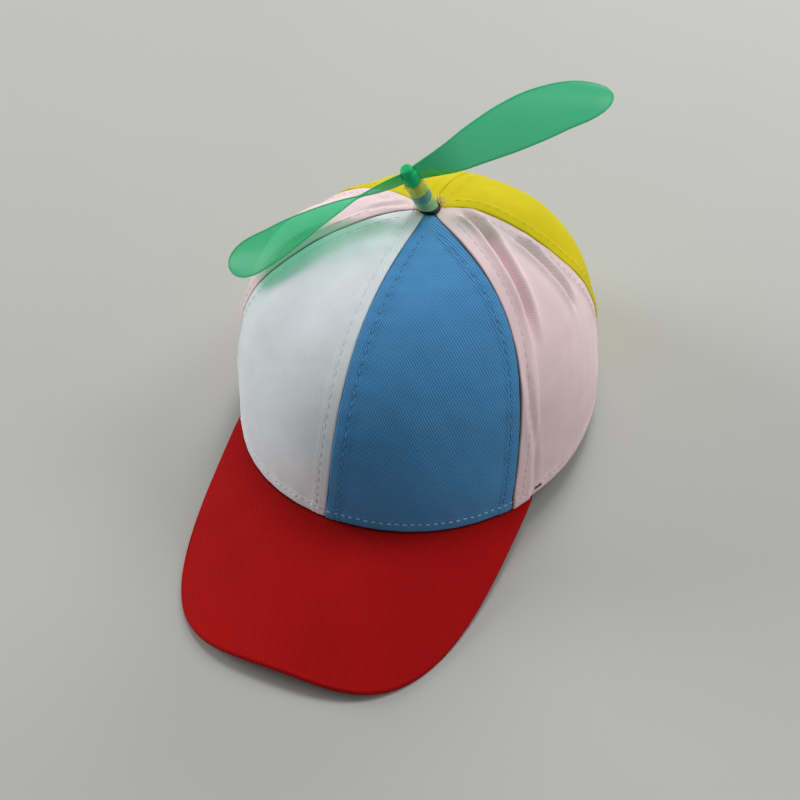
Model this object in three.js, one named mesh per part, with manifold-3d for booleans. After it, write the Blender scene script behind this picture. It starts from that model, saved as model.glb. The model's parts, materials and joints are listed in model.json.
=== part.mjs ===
// Propeller beanie: a soft cap of six sewn panels with a stiff peak, and a two-blade
// propeller that turns freely on a short leaning post at the crown's top.
// Millimetres, +Z up, the peak points to -Y. Left and right are as seen from in front.
// The crown and the peak are drawn in the rim's own frame, with the rim in the plane z = 0,
// and then pitched back until the rear rim and the peak's corners rest on the floor.
import * as THREE from "three";
import { mergeVertices } from "three/addons/utils/BufferGeometryUtils.js";
import Module from "manifold-3d";

const wasm = await Module();
wasm.setup();

// Crown
const RIM_HALF_WIDTH = 80;
const RIM_HALF_LENGTH = 94;
const CROWN_RISE = 93.7;
const APEX_BACK = 7.8;
const FRONT_RIM_RISE = 3.8;
const PANEL_WALL = 2;
const SEAM_GAP = 0.3;
const APEX_HOLE_RADIUS = 3.4;
const FOLD_WIDTH = 7;
const FOLD_DEPTH = 2.4;

// Peak
const PEAK_DEPTH = 62.6;
const PEAK_HALF_WIDTH = 65.7;
const PEAK_THICKNESS = 3;
const PEAK_EDGE_ROUND = 0.8;
const PEAK_SLOPE_DEGREES = 17.3;
const PEAK_CORNER_POWER = 3.3;
const TEMPLE_AZIMUTH = 61;
const CLOTH_SETTLE = 0.5;

// Post
const POST_TILT_DEGREES = 27.9;
const POST_HEADING_DEGREES = 242.4;
const POST_FORWARD = 1;
const RING_RADIUS = 4.9;
const RING_HEIGHT = 1.4;
const PIN_RADIUS = 1.5;
const PIN_FLANGE_RADIUS = 5;
const PIN_FLANGE_HEIGHT = 1.2;
const PIN_IN_HUB = 5.4;
const SLEEVE_RADIUS = 4.2;
const SLEEVES_LENGTH = 16.5;
const RUNNING_CLEARANCE = 0.3;
const SLEEVES = [
  { name: "sleeve_green", share: 0.36, colour: 0x8fbf9a },
  { name: "sleeve_blue", share: 0.28, colour: 0x5f9aa6 },
  { name: "sleeve_yellow", share: 0.36, colour: 0xc3c94a },
];

// Propeller
const HUB_RADIUS = 3.6;
const HUB_HEIGHT = 6.2;
const HUB_EDGE = 0.8;
const KNOB_RADIUS = 2.7;
const KNOB_HEIGHT = 2.4;
const BLADE_HEIGHT = 3.6;
const BLADE_REACH = 85.6;
const BLADE_CHORD = 23.4;
const BLADE_THICKNESS = 1.4;
const BLADE_EDGE_THICKNESS = 0.7;
const BLADE_LIFT = 5.7;
const BLADE_DROOP = 10.8;
const BLADE_TIP_ROUND = 18;
const BLADE_TIP_POWER = 2.4;
const PROPELLER_SPIN_DEGREES = 150;

// The crown's upright section at each azimuth, in degrees from +X: fullness is the power of
// the rounded outline, and bulge is the share by which it swells half way up
const CROWN_SECTIONS = [
  { azimuth: -90, fullness: 2.6, bulge: 0 },
  { azimuth: -62, fullness: 2.65, bulge: 0 },
  { azimuth: -35, fullness: 2.75, bulge: 0 },
  { azimuth: -8, fullness: 2.6, bulge: 0 },
  { azimuth: 15, fullness: 2.3, bulge: 0 },
  { azimuth: 40, fullness: 2.55, bulge: 0.02 },
  { azimuth: 90, fullness: 2.35, bulge: 0 },
  { azimuth: 140, fullness: 2.35, bulge: 0 },
  { azimuth: 165, fullness: 2.55, bulge: 0 },
  { azimuth: 188, fullness: 3.3, bulge: 0 },
  { azimuth: 215, fullness: 2.95, bulge: 0 },
  { azimuth: 242, fullness: 2.65, bulge: 0 },
];

// The seams between panels: azimuth at the rim, turn by the top, bow and S-bend on the way,
// all in degrees
const SEAMS = {
  front: { rim: -94, turn: 3, bow: 0, ess: 1 },
  right: { rim: -37.5, turn: 0.5, bow: 5, ess: -2 },
  back_right: { rim: 27.5, turn: 7.5, bow: -14, ess: 5 },
  rear: { rim: 90, turn: 0, bow: 0, ess: 0 },
  back_left: { rim: 153.5, turn: 1, bow: 5.5, ess: -1 },
  left: { rim: 205.5, turn: -9, bow: 11, ess: -5.5 },
};

// The panels, each from one seam round to the next
const PANELS = [
  { name: "panel_front_right", from: "front", to: "right", colour: 0x3a76ab },
  { name: "panel_side_right", from: "right", to: "back_right", colour: 0xdcc2c3 },
  { name: "panel_back_right", from: "back_right", to: "rear", colour: 0xdad02a },
  { name: "panel_back_left", from: "rear", to: "back_left", colour: 0xdad02a },
  { name: "panel_side_left", from: "back_left", to: "left", colour: 0xdcc2c3 },
  { name: "panel_front_left", from: "left", to: "front", colour: 0xd9dfe0 },
];

// Soft dents pressed into the cloth: both ends as azimuth in degrees and share of the way up,
// width and depth as shares of FOLD_WIDTH and FOLD_DEPTH
const FOLDS = [
  { azimuth: 16, rise: 0.9, toAzimuth: -12, toRise: 0.74, width: 0.8, depth: 0.8 },
  { azimuth: -12, rise: 0.74, toAzimuth: -23, toRise: 0.46, width: 0.8, depth: 1 },
  { azimuth: 8, rise: 0.7, toAzimuth: 5, toRise: 0.43, width: 0.9, depth: 1 },
  { azimuth: 170, rise: 0.94, toAzimuth: 187, toRise: 0.88, width: 0.8, depth: 0.6 },
  { azimuth: 187, rise: 0.88, toAzimuth: 198, toRise: 0.79, width: 0.8, depth: 0.7 },
  { azimuth: 206, rise: 0.3, toAzimuth: 200, toRise: 0.15, width: 1.3, depth: 0.9 },
];

// Blade sections by share of the reach: chord and sweep as shares of BLADE_CHORD, pitch in
// degrees from the plane of turning
const BLADE_SECTIONS = [
  { reach: 0.03, chord: 0.31, pitch: 80, sweep: 0 },
  { reach: 0.2, chord: 0.53, pitch: 56, sweep: -0.03 },
  { reach: 0.35, chord: 0.72, pitch: 34, sweep: 0.01 },
  { reach: 0.5, chord: 0.9, pitch: 23, sweep: 0.05 },
  { reach: 0.65, chord: 1, pitch: 14.5, sweep: 0.085 },
  { reach: 0.8, chord: 0.97, pitch: 7, sweep: 0.09 },
  { reach: 1, chord: 0.93, pitch: -5, sweep: 0.01 },
];

// Fineness of the facets
const PANEL_COLUMNS = 12;
const PANEL_ROWS = 18;
const PEAK_STATIONS = 44;
const PEAK_COLUMNS = 6;
const BLADE_STATIONS = 20;
const BLADE_COLUMNS = 6;
const BLADE_END = 0.997;
const TIP_CLOSENESS = 0.6;
const ROUND_SIDES = 24;

const DEG = Math.PI / 180;
const ACROSS = new THREE.Vector3(1, 0, 0);
const { lerp, smoothstep } = THREE.MathUtils;

// Value of one column of a table between its rows, eased from row to row
function between(rows, key, at, column) {
  const next = rows.findIndex((row) => row[key] > at);
  if (next <= 0) {
    return (next < 0 ? rows.at(-1) : rows[0])[column];
  }
  const low = rows[next - 1];
  const high = rows[next];
  return lerp(low[column], high[column], smoothstep(at, low[key], high[key]));
}

// The slope of one column of a table at a row, from the rows on both sides of it
function slopeAt(rows, key, row, column) {
  const before = rows[Math.max(row - 1, 0)];
  const after = rows[Math.min(row + 1, rows.length - 1)];
  return (after[column] - before[column]) / (after[key] - before[key]);
}

// Value of one column of a table on the smooth curve through its rows
function onCurve(rows, key, at, column) {
  const next = rows.findIndex((row) => row[key] > at);
  if (next <= 0) {
    return between(rows, key, at, column);
  }
  const from = rows[next - 1][key];
  const span = rows[next][key] - from;
  const share = (at - from) / span;
  const leaving = slopeAt(rows, key, next - 1, column) * share * (1 - share) ** 2;
  const arriving = slopeAt(rows, key, next, column) * share ** 2 * (share - 1);
  return between(rows, key, at, column) + span * (leaving + arriving);
}

// The sections once more at both ends, so that a value is found all the way round
const sectionsRound = [
  ...CROWN_SECTIONS,
  { ...CROWN_SECTIONS[0], azimuth: CROWN_SECTIONS[0].azimuth + 360 },
];

function wrapAzimuth(azimuth) {
  const first = CROWN_SECTIONS[0].azimuth;
  return first + ((((azimuth - first) % 360) + 360) % 360);
}

// The rim: an oval whose front rides over the arched peak
function rimPlan(azimuth, inset = 0) {
  const x = RIM_HALF_WIDTH * Math.cos(azimuth * DEG);
  const y = RIM_HALF_LENGTH * Math.sin(azimuth * DEG);
  const outward = new THREE.Vector2(x / RIM_HALF_WIDTH ** 2, y / RIM_HALF_LENGTH ** 2);
  return new THREE.Vector2(x, y).addScaledVector(outward.normalize(), -inset);
}

const temple = rimPlan(TEMPLE_AZIMUTH - 90);
const peakSlope = Math.tan(PEAK_SLOPE_DEGREES * DEG);

// The peak's top is arched from side to side, so that it meets the rim's plane at the temples
const peakArch = (FRONT_RIM_RISE + peakSlope * (RIM_HALF_LENGTH + temple.y)) / temple.x ** 2;

function peakTop(x, y) {
  return FRONT_RIM_RISE + peakSlope * (RIM_HALF_LENGTH + y) - peakArch * x * x;
}

function rimHeight(azimuth) {
  const fromFront = wrapAzimuth(azimuth) + 90;
  if (Math.min(fromFront, 360 - fromFront) >= TEMPLE_AZIMUTH) {
    return 0;
  }
  const { x, y } = rimPlan(azimuth);
  return peakTop(x, y);
}

// A point of the crown's outer face: azimuth in degrees, rise from 0 at the rim to 1 at the top
function crownPoint(azimuth, rise) {
  const wrapped = wrapAzimuth(azimuth);
  const power = between(sectionsRound, "azimuth", wrapped, "fullness");
  const bulge = between(sectionsRound, "azimuth", wrapped, "bulge");
  const angle = (rise * Math.PI) / 2;
  const across = Math.cos(angle);
  const up = Math.sin(angle);
  const scale = (across ** power + up ** power) ** (-1 / power);
  const reach = across * scale;
  const swell = reach * (1 + bulge * Math.sin(2 * angle));
  const base = rimHeight(azimuth);
  return new THREE.Vector3(
    RIM_HALF_WIDTH * Math.cos(azimuth * DEG) * swell,
    RIM_HALF_LENGTH * Math.sin(azimuth * DEG) * swell + APEX_BACK * (1 - reach),
    base + (CROWN_RISE - base) * up * scale,
  );
}

function crownNormal(azimuth, rise) {
  const turn = 0.5;
  const step = 0.01;
  const low = Math.max(rise - step, 0);
  const round = crownPoint(azimuth + turn, rise).sub(crownPoint(azimuth - turn, rise));
  const upward = crownPoint(azimuth, rise + step).sub(crownPoint(azimuth, low));
  if (rise === 0) {
    round.z = 0;
    upward.set(0, 0, 1);
  }
  return round.cross(upward).normalize();
}

// How far the cloth is pressed in at a point, as the sum of the dents near it
const panelRise = Math.PI * 0.5 * CROWN_RISE;
const flangeReach = PIN_FLANGE_RADIUS + POST_FORWARD;

function radiusAt(azimuth, rise) {
  const { x, y } = crownPoint(azimuth, rise);
  return Math.hypot(x, y - APEX_BACK * rise);
}

function dentDepth(azimuth, rise) {
  const radius = radiusAt(azimuth, rise);
  const place = (a, r) => new THREE.Vector3(a * DEG * radius, r * panelRise, 0);
  const nearest = new THREE.Vector3();
  const here = place(wrapAzimuth(azimuth), rise);
  let depth = 0;
  for (const fold of FOLDS) {
    const turn = fold.azimuth < CROWN_SECTIONS[0].azimuth + 180 && azimuth > 180 ? 360 : 0;
    const start = place(wrapAzimuth(fold.azimuth + turn), fold.rise);
    const end = place(wrapAzimuth(fold.toAzimuth + turn), fold.toRise);
    new THREE.Line3(start, end).closestPointToPoint(here, true, nearest);
    const away = nearest.distanceTo(here) / (fold.width * FOLD_WIDTH);
    depth += fold.depth * FOLD_DEPTH * Math.exp(-away * away);
  }
  return depth * smoothstep(radius, 1.5 * flangeReach, 2 * flangeReach);
}

// The peak's outline, from the right temple (0) round the front to the left temple (1)
const peakReach = PEAK_DEPTH + RIM_HALF_LENGTH + temple.y;

function peakOutline(share) {
  const angle = share * Math.PI;
  const forward = Math.sin(angle) ** (2 / PEAK_CORNER_POWER);
  const side = Math.sign(Math.cos(angle)) * Math.abs(Math.cos(angle)) ** (2 / PEAK_CORNER_POWER);
  const wide = lerp(temple.x, PEAK_HALF_WIDTH, 1 - (1 - forward) ** 2);
  return new THREE.Vector2(wide * side, temple.y - peakReach * forward);
}

// The pitch at which the rear rim and the peak's underside both touch the floor
function restPitch() {
  let pitch = 0;
  for (let k = 0; k <= PEAK_STATIONS; k += 1) {
    const { x, y } = peakOutline(k / PEAK_STATIONS);
    const below = PEAK_THICKNESS - PEAK_EDGE_ROUND + SEAM_GAP - peakTop(x, y);
    pitch = Math.max(pitch, Math.atan2(below, RIM_HALF_LENGTH - y));
  }
  return pitch;
}

const pitch = restPitch();
const rimLift = RIM_HALF_LENGTH * Math.sin(pitch) - CLOTH_SETTLE;

// Lays a point of the rim's frame on the floor, where the cloth flattens as it settles
function laid(point) {
  point.applyAxisAngle(ACROSS, -pitch);
  point.z = Math.max(point.z + rimLift, 0);
  return point;
}

// A closed skin from rows of paired points: an outer face, an inner face and the edges
function bandGeometry(rows) {
  const columns = rows[0].outer.length;
  const points = rows.flatMap((row) => [...row.outer, ...row.inner]);
  const outer = (row, column) => row * 2 * columns + column;
  const inner = (row, column) => outer(row, column) + columns;
  const index = [];
  const quad = (a, b, c, d) => index.push(a, b, c, a, c, d);
  for (let r = 0; r + 1 < rows.length; r += 1) {
    for (let c = 0; c + 1 < columns; c += 1) {
      quad(outer(r, c), outer(r, c + 1), outer(r + 1, c + 1), outer(r + 1, c));
      quad(inner(r, c), inner(r + 1, c), inner(r + 1, c + 1), inner(r, c + 1));
    }
    const end = columns - 1;
    quad(outer(r, 0), outer(r + 1, 0), inner(r + 1, 0), inner(r, 0));
    quad(outer(r, end), inner(r, end), inner(r + 1, end), outer(r + 1, end));
  }
  const last = rows.length - 1;
  for (let c = 0; c + 1 < columns; c += 1) {
    quad(outer(0, c), inner(0, c), inner(0, c + 1), outer(0, c + 1));
    quad(outer(last, c), outer(last, c + 1), inner(last, c + 1), inner(last, c));
  }
  const geometry = new THREE.BufferGeometry().setFromPoints(points);
  geometry.setIndex(index);
  return geometry;
}

function seamAzimuth(seam, rise) {
  const { rim, turn, bow, ess } = SEAMS[seam];
  const quarter = (rise * Math.PI) / 2;
  return rim + turn * Math.sin(quarter) + bow * Math.sin(2 * quarter) + ess * Math.sin(4 * quarter);
}

// The share of the way up at which the panels stop, round the hole for the post
const topRise = 1 - (Math.asin(APEX_HOLE_RADIUS / RIM_HALF_WIDTH) * 2) / Math.PI;

function panelPoint(panel, across, rise) {
  const from = seamAzimuth(panel.from, rise);
  const full = (((seamAzimuth(panel.to, rise) - from) % 360) + 360) % 360;
  const middle = from + full * across;
  const azimuth = middle + (SEAM_GAP * (0.5 - across)) / radiusAt(middle, rise) / DEG;
  const normal = crownNormal(azimuth, rise);
  const outer = crownPoint(azimuth, rise).addScaledVector(normal, -dentDepth(azimuth, rise));
  const inner = outer.clone().addScaledVector(normal, -PANEL_WALL);
  return { outer: laid(outer), inner: laid(inner) };
}

function panelGeometry(panel) {
  const rows = [];
  for (let r = 0; r <= PANEL_ROWS; r += 1) {
    const row = { outer: [], inner: [] };
    for (let c = 0; c <= PANEL_COLUMNS; c += 1) {
      const point = panelPoint(panel, c / PANEL_COLUMNS, (topRise * r) / PANEL_ROWS);
      row.outer.push(point.outer);
      row.inner.push(point.inner);
    }
    rows.push(row);
  }
  return bandGeometry(rows);
}

// One cut across the peak, from under the crown's rim out to the rounded edge
function peakSection(share) {
  const azimuth = lerp(TEMPLE_AZIMUTH, -TEMPLE_AZIMUTH, share) - 90;
  const start = rimPlan(azimuth);
  const tuck = rimPlan(azimuth, PANEL_WALL);
  const end = peakOutline(share);
  const rim = rimHeight(azimuth) - SEAM_GAP;
  const outer = [new THREE.Vector3(tuck.x, tuck.y, rim)];
  const inner = [new THREE.Vector3(tuck.x, tuck.y, rim - PEAK_THICKNESS)];
  for (let c = 0; c <= PEAK_COLUMNS; c += 1) {
    const out = Math.sin((c / PEAK_COLUMNS) * (Math.PI / 2));
    const { x, y } = start.clone().lerp(end, out);
    const top = peakTop(x, y) - SEAM_GAP;
    const round = c === PEAK_COLUMNS ? PEAK_EDGE_ROUND : 0;
    outer.push(new THREE.Vector3(x, y, top - round));
    inner.push(new THREE.Vector3(x, y, top - PEAK_THICKNESS + round));
  }
  return { outer: outer.map(laid), inner: inner.map(laid) };
}

function peakGeometry() {
  const rows = [];
  for (let k = 0; k <= PEAK_STATIONS; k += 1) {
    rows.unshift(peakSection((k + 0.5) / (PEAK_STATIONS + 1)));
  }
  return bandGeometry(rows);
}

// Solids for joining and cutting
function solid(geometry) {
  const bare = geometry.clone();
  bare.deleteAttribute("normal");
  bare.deleteAttribute("uv");
  const merged = mergeVertices(bare, 1e-4);
  const vertProperties = new Float32Array(merged.attributes.position.array);
  const triVerts = new Uint32Array(merged.index.array);
  return new wasm.Manifold(new wasm.Mesh({ numProp: 3, vertProperties, triVerts }));
}

function geometryOf(manifold) {
  const { vertProperties, triVerts, numProp } = manifold.getMesh();
  const geometry = new THREE.BufferGeometry();
  geometry.setAttribute("position", new THREE.BufferAttribute(vertProperties, numProp));
  geometry.setIndex(new THREE.BufferAttribute(triVerts, 1));
  return geometry;
}

// A turned piece about +Z from corner points of radius and height
function turned(corners) {
  const outline = corners.map(([radius, height]) => new THREE.Vector2(radius, height));
  return new THREE.LatheGeometry(outline, ROUND_SIDES).rotateX(Math.PI / 2);
}

function rod(radius, from, to) {
  return turned([[0, from], [radius, from], [radius, to], [0, to]]);
}

function tube(inside, outside, from, to) {
  const corners = [[inside, from], [outside, from], [outside, to], [inside, to], [inside, from]];
  return turned(corners);
}

// The post stands on the crown's top, and its own +Z leans with it
const postTilt = POST_TILT_DEGREES * DEG;
const boreRadius = PIN_RADIUS + RUNNING_CLEARANCE;
const sleeveFoot = (RING_HEIGHT + SEAM_GAP) / Math.cos(postTilt);
const hubFoot = sleeveFoot + SLEEVES_LENGTH + SLEEVES.length * SEAM_GAP;
const ringHole = PIN_RADIUS / Math.cos(postTilt) + RING_HEIGHT * Math.tan(postTilt) + RUNNING_CLEARANCE;

// The lowest sleeve is cut level, to stand on the ring
function sleeveGeometry(from, to) {
  const geometry = tube(boreRadius, SLEEVE_RADIUS, from, to);
  if (from > sleeveFoot) {
    return geometry;
  }
  const { position } = geometry.attributes;
  for (let k = 0; k < position.count; k += 1) {
    if (position.getZ(k) < to - SEAM_GAP) {
      position.setZ(k, sleeveFoot + position.getX(k) * Math.tan(postTilt));
    }
  }
  return geometry;
}

// How far the crown has fallen away at a distance from its top
function topDrop(radius) {
  const rise = 1 - (Math.asin(radius / RIM_HALF_WIDTH) * 2) / Math.PI;
  return Math.max(...CROWN_SECTIONS.map(({ azimuth }) => CROWN_RISE - crownPoint(azimuth, rise).z));
}

// The pin is riveted through the crown: a flange under the cloth, a short upright stem through
// the hole and a leaning stem up into the hub
function pinGeometry() {
  const under = -PANEL_WALL - topDrop(flangeReach) - 2 * SEAM_GAP;
  const lean = (geometry) => geometry.rotateY(postTilt).rotateZ(POST_HEADING_DEGREES * DEG);
  const flange = solid(rod(PIN_FLANGE_RADIUS, under - PIN_FLANGE_HEIGHT, under));
  const stem = solid(rod(PIN_RADIUS, under - PIN_FLANGE_HEIGHT / 2, 0));
  const bend = solid(new THREE.SphereGeometry(PIN_RADIUS, ROUND_SIDES, ROUND_SIDES / 2));
  const leaning = solid(lean(rod(PIN_RADIUS, 0, hubFoot + PIN_IN_HUB)));
  return geometryOf(flange.add(stem).add(bend).add(leaning));
}

// One blade along +X: a thin twisted blade that narrows to the hub and rounds off at the tip
function bladeSection(reach) {
  const at = (column) => onCurve(BLADE_SECTIONS, "reach", reach, column);
  const along = BLADE_REACH * reach;
  const tip = Math.max(0, (along - BLADE_REACH + BLADE_TIP_ROUND) / BLADE_TIP_ROUND);
  const rounding = Math.sqrt(Math.max(0, 1 - tip ** BLADE_TIP_POWER));
  const chord = BLADE_CHORD * at("chord") * rounding;
  const pitchAngle = at("pitch") * DEG;
  const across = new THREE.Vector3(0, Math.cos(pitchAngle), Math.sin(pitchAngle));
  const normal = new THREE.Vector3(0, -Math.sin(pitchAngle), Math.cos(pitchAngle));
  const rise = BLADE_HEIGHT + BLADE_LIFT * reach - BLADE_DROOP * reach ** 2;
  const middle = new THREE.Vector3(along, 0, rise);
  middle.addScaledVector(across, BLADE_CHORD * at("sweep"));
  const outer = [];
  const inner = [];
  for (let c = 0; c <= BLADE_COLUMNS; c += 1) {
    const side = 1 - (2 * c) / BLADE_COLUMNS;
    const thick = lerp(BLADE_THICKNESS, BLADE_EDGE_THICKNESS, side * side) / 2;
    const point = middle.clone().addScaledVector(across, (side * chord) / 2);
    outer.push(point.clone().addScaledVector(normal, thick));
    inner.push(point.clone().addScaledVector(normal, -thick));
  }
  return { outer, inner };
}

function bladeGeometry() {
  const rows = [];
  const root = BLADE_SECTIONS[0].reach;
  for (let k = 0; k <= BLADE_STATIONS; k += 1) {
    const even = k / BLADE_STATIONS;
    const closer = lerp(even, Math.sin(even * (Math.PI / 2)), TIP_CLOSENESS);
    rows.push(bladeSection(lerp(root, BLADE_END, closer)));
  }
  return bandGeometry(rows);
}

function propellerGeometry() {
  const top = HUB_HEIGHT + KNOB_HEIGHT;
  const hub = solid(turned([
    [0, 0], [HUB_RADIUS, 0], [HUB_RADIUS, HUB_HEIGHT - HUB_EDGE], [KNOB_RADIUS, HUB_HEIGHT],
    [KNOB_RADIUS, top - KNOB_HEIGHT / 2], [KNOB_RADIUS * 0.7, top - KNOB_HEIGHT / 6], [0, top],
  ]));
  const bore = solid(rod(boreRadius, -HUB_EDGE, PIN_IN_HUB + RUNNING_CLEARANCE));
  const blades = [0, Math.PI].map((turn) => solid(bladeGeometry().rotateZ(turn)));
  return geometryOf(hub.add(blades[0]).add(blades[1]).subtract(bore));
}

// The assembly
function piece(name, geometry, colour, roughness, metalness = 0) {
  const material = new THREE.MeshStandardMaterial({ color: colour, roughness, metalness });
  const mesh = new THREE.Mesh(geometry, material);
  mesh.name = name;
  return mesh;
}

function crownPieces() {
  const panels = PANELS.map((panel) => piece(panel.name, panelGeometry(panel), panel.colour, 0.9));
  return [...panels, piece("peak", peakGeometry(), 0x8e1519, 0.9)];
}

function leaningPieces() {
  const leaning = new THREE.Group();
  leaning.rotation.set(0, postTilt, POST_HEADING_DEGREES * DEG, "ZYX");
  let from = sleeveFoot;
  for (const { name, share, colour } of SLEEVES) {
    const length = share * SLEEVES_LENGTH;
    leaning.add(piece(name, sleeveGeometry(from, from + length), colour, 0.45));
    from += length + SEAM_GAP;
  }
  const propeller = piece("propeller", propellerGeometry(), 0x12a060, 0.35);
  propeller.position.z = hubFoot;
  propeller.rotation.z = PROPELLER_SPIN_DEGREES * DEG;
  leaning.add(propeller);
  return leaning;
}

function postPieces() {
  const post = new THREE.Group();
  post.add(piece("base_ring", tube(ringHole, RING_RADIUS, 0, RING_HEIGHT), 0x16181a, 0.5));
  post.add(piece("post_pin", pinGeometry(), 0x9aa0a4, 0.4));
  post.add(leaningPieces());
  const top = new THREE.Vector3(0, APEX_BACK - POST_FORWARD, CROWN_RISE + SEAM_GAP);
  post.position.copy(top.applyAxisAngle(ACROSS, -pitch));
  post.position.z += rimLift;
  post.rotation.x = -pitch;
  return post;
}

const beanie = new THREE.Group();
beanie.add(...crownPieces(), postPieces());
beanie.updateMatrixWorld(true);

// The origin is under the middle of the whole outline, on the floor
const middle = new THREE.Box3().setFromObject(beanie, true).getCenter(new THREE.Vector3());
beanie.position.set(-middle.x, -middle.y, 0);
beanie.updateMatrixWorld(true);

export default beanie;
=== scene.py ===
"""Looks of a propeller beanie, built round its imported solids.

The beanie is a soft six-panel cap with a stiff peak, and a two-blade propeller that turns on
a short leaning post at the crown's top. Left and right are as seen from in front.

Shapes are worked out in millimetres in the rim's own frame, with the rim in the plane z = 0
and the peak towards -Y, as the solids are. They are then pitched back onto the floor and
turned to metres where a mesh is made.
"""

import json
import logging
import math
from dataclasses import dataclass, field
from enum import Enum
from typing import Any

import bpy
import numpy as np
from mathutils import Matrix

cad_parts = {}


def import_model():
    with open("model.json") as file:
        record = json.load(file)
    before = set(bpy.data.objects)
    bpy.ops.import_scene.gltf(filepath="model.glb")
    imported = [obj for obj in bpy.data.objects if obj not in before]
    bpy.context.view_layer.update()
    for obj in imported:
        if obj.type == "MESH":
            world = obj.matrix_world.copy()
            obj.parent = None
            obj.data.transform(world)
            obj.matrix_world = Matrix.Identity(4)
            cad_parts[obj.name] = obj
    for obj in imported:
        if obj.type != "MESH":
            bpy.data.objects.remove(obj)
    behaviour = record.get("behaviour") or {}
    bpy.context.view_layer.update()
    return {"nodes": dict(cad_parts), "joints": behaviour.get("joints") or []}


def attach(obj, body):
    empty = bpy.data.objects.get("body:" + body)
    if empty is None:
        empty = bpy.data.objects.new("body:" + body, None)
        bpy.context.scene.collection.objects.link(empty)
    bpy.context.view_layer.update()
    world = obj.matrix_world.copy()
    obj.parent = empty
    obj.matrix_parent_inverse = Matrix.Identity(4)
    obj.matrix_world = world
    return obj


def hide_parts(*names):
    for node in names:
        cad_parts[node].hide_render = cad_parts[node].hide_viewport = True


LOG = logging.getLogger("propeller_beanie")
MM = 0.001
CLOTH_MAP = "cloth_mm"
TINY = 1e-9
WAVE_SCALE = 2 * math.pi / 20
"""Scale at which the wave texture makes one band to each unit of its map."""
Array = np.ndarray
Material = bpy.types.Material
Finishes = dict[str, Material]


class Body(Enum):
    """The bodies of the frame that pieces ride on."""

    CAP = "cap"
    PROPELLER = "propeller"


# ---------------------------------------------------------------- small sums


def linear(colour: str) -> tuple[float, float, float, float]:
    """Turns an sRGB hex colour to linear light.

    Args:
        colour: Six hex digits after a #.

    Returns:
        Red, green, blue and a full alpha.
    """
    shares = [int(colour[k : k + 2], 16) / 255 for k in (1, 3, 5)]
    light = [s / 12.92 if s <= 0.04045 else ((s + 0.055) / 1.055) ** 2.4 for s in shares]
    return (light[0], light[1], light[2], 1.0)


def eased(low: float, high: float, at: Array) -> Array:
    """Rises smoothly from 0 at low to 1 at high."""
    share = np.clip((at - low) / (high - low), 0, 1)
    return share * share * (3 - 2 * share)


def from_table(keys: Array, values: Array, at: Array) -> Array:
    """Reads a table between its rows, eased from row to row.

    Args:
        keys: Rising places of the rows.
        values: The rows' values.
        at: Places to read.

    Returns:
        A value for each place.
    """
    high = np.clip(np.searchsorted(keys, at, side="right"), 1, len(keys) - 1)
    low = high - 1
    share = np.clip((at - keys[low]) / (keys[high] - keys[low]), 0, 1)
    share = share * share * (3 - 2 * share)
    return values[low] + (values[high] - values[low]) * share


def on_curve(keys: Array, values: Array, at: Array) -> Array:
    """Reads a table on the smooth curve through its rows.

    Args:
        keys: Rising places of the rows.
        values: The rows' values.
        at: Places to read.

    Returns:
        A value for each place.
    """
    rows = np.arange(len(keys))
    before, after = np.maximum(rows - 1, 0), np.minimum(rows + 1, len(keys) - 1)
    slopes = (values[after] - values[before]) / (keys[after] - keys[before])
    high = np.clip(np.searchsorted(keys, at, side="right"), 1, len(keys) - 1)
    low = high - 1
    span = keys[high] - keys[low]
    share = np.clip((at - keys[low]) / span, 0, 1)
    leaving = slopes[low] * share * (1 - share) ** 2
    arriving = slopes[high] * share**2 * (share - 1)
    return from_table(keys, values, at) + span * (leaving + arriving)


def unit(vectors: Array) -> Array:
    """Scales each vector to length 1."""
    return vectors / np.maximum(np.linalg.norm(vectors, axis=-1, keepdims=True), TINY)


def near_line(points: Array, line: Array) -> tuple[Array, Array]:
    """Finds how far points are from a line of short straight steps.

    Args:
        points: Points in rows of three.
        line: The line's own points.

    Returns:
        The distance of each point, and the share of the way along the line where it is.
    """
    start, step = line[:-1], np.diff(line, axis=0)
    span = np.maximum((step**2).sum(1), TINY)
    away = points[:, None, :] - start[None, :, :]
    share = np.clip((away * step).sum(2) / span, 0, 1)
    gap = np.linalg.norm(away - share[..., None] * step, axis=2)
    best = gap.argmin(1)
    rows = np.arange(len(points))
    return gap[rows, best], (best + share[rows, best]) / len(step)


def swell(points: Array, length: float, seed: int, waves: int = 7, spread: float = 2.4) -> Array:
    """Gives a soft unevenness between about -1 and 1, from a few waves in set directions.

    Args:
        points: Points in millimetres, with three in the last axis.
        length: The shortest wave's length in millimetres.
        seed: Picks the waves.
        waves: How many there are.
        spread: How many times the shortest wave's length the longest may have.

    Returns:
        A height for each point.
    """
    rng = np.random.default_rng(seed)
    heading = unit(rng.normal(size=(waves, 3)))
    reach = length * rng.uniform(1, spread, waves)
    phase = rng.uniform(0, 2 * math.pi, waves)
    turns = (points @ heading.T) * (2 * math.pi / reach) + phase
    return np.sin(turns).sum(-1) / math.sqrt(waves) / 1.6


def turning(axis: int, angle: float) -> Array:
    """Matrix of a turn about an axis, which is 0, 1 or 2 for X, Y or Z."""
    first, second = (axis + 1) % 3, (axis + 2) % 3
    made = np.eye(3)
    made[first, first] = made[second, second] = math.cos(angle)
    made[first, second], made[second, first] = -math.sin(angle), math.sin(angle)
    return made


def way_along(points: Array, axis: int = 0) -> Array:
    """How far each point is along its line, from that line's first point."""
    steps = np.linalg.norm(np.diff(points, axis=axis), axis=-1)
    return np.cumsum(np.insert(steps, 0, 0, axis=axis), axis=axis)


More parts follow.
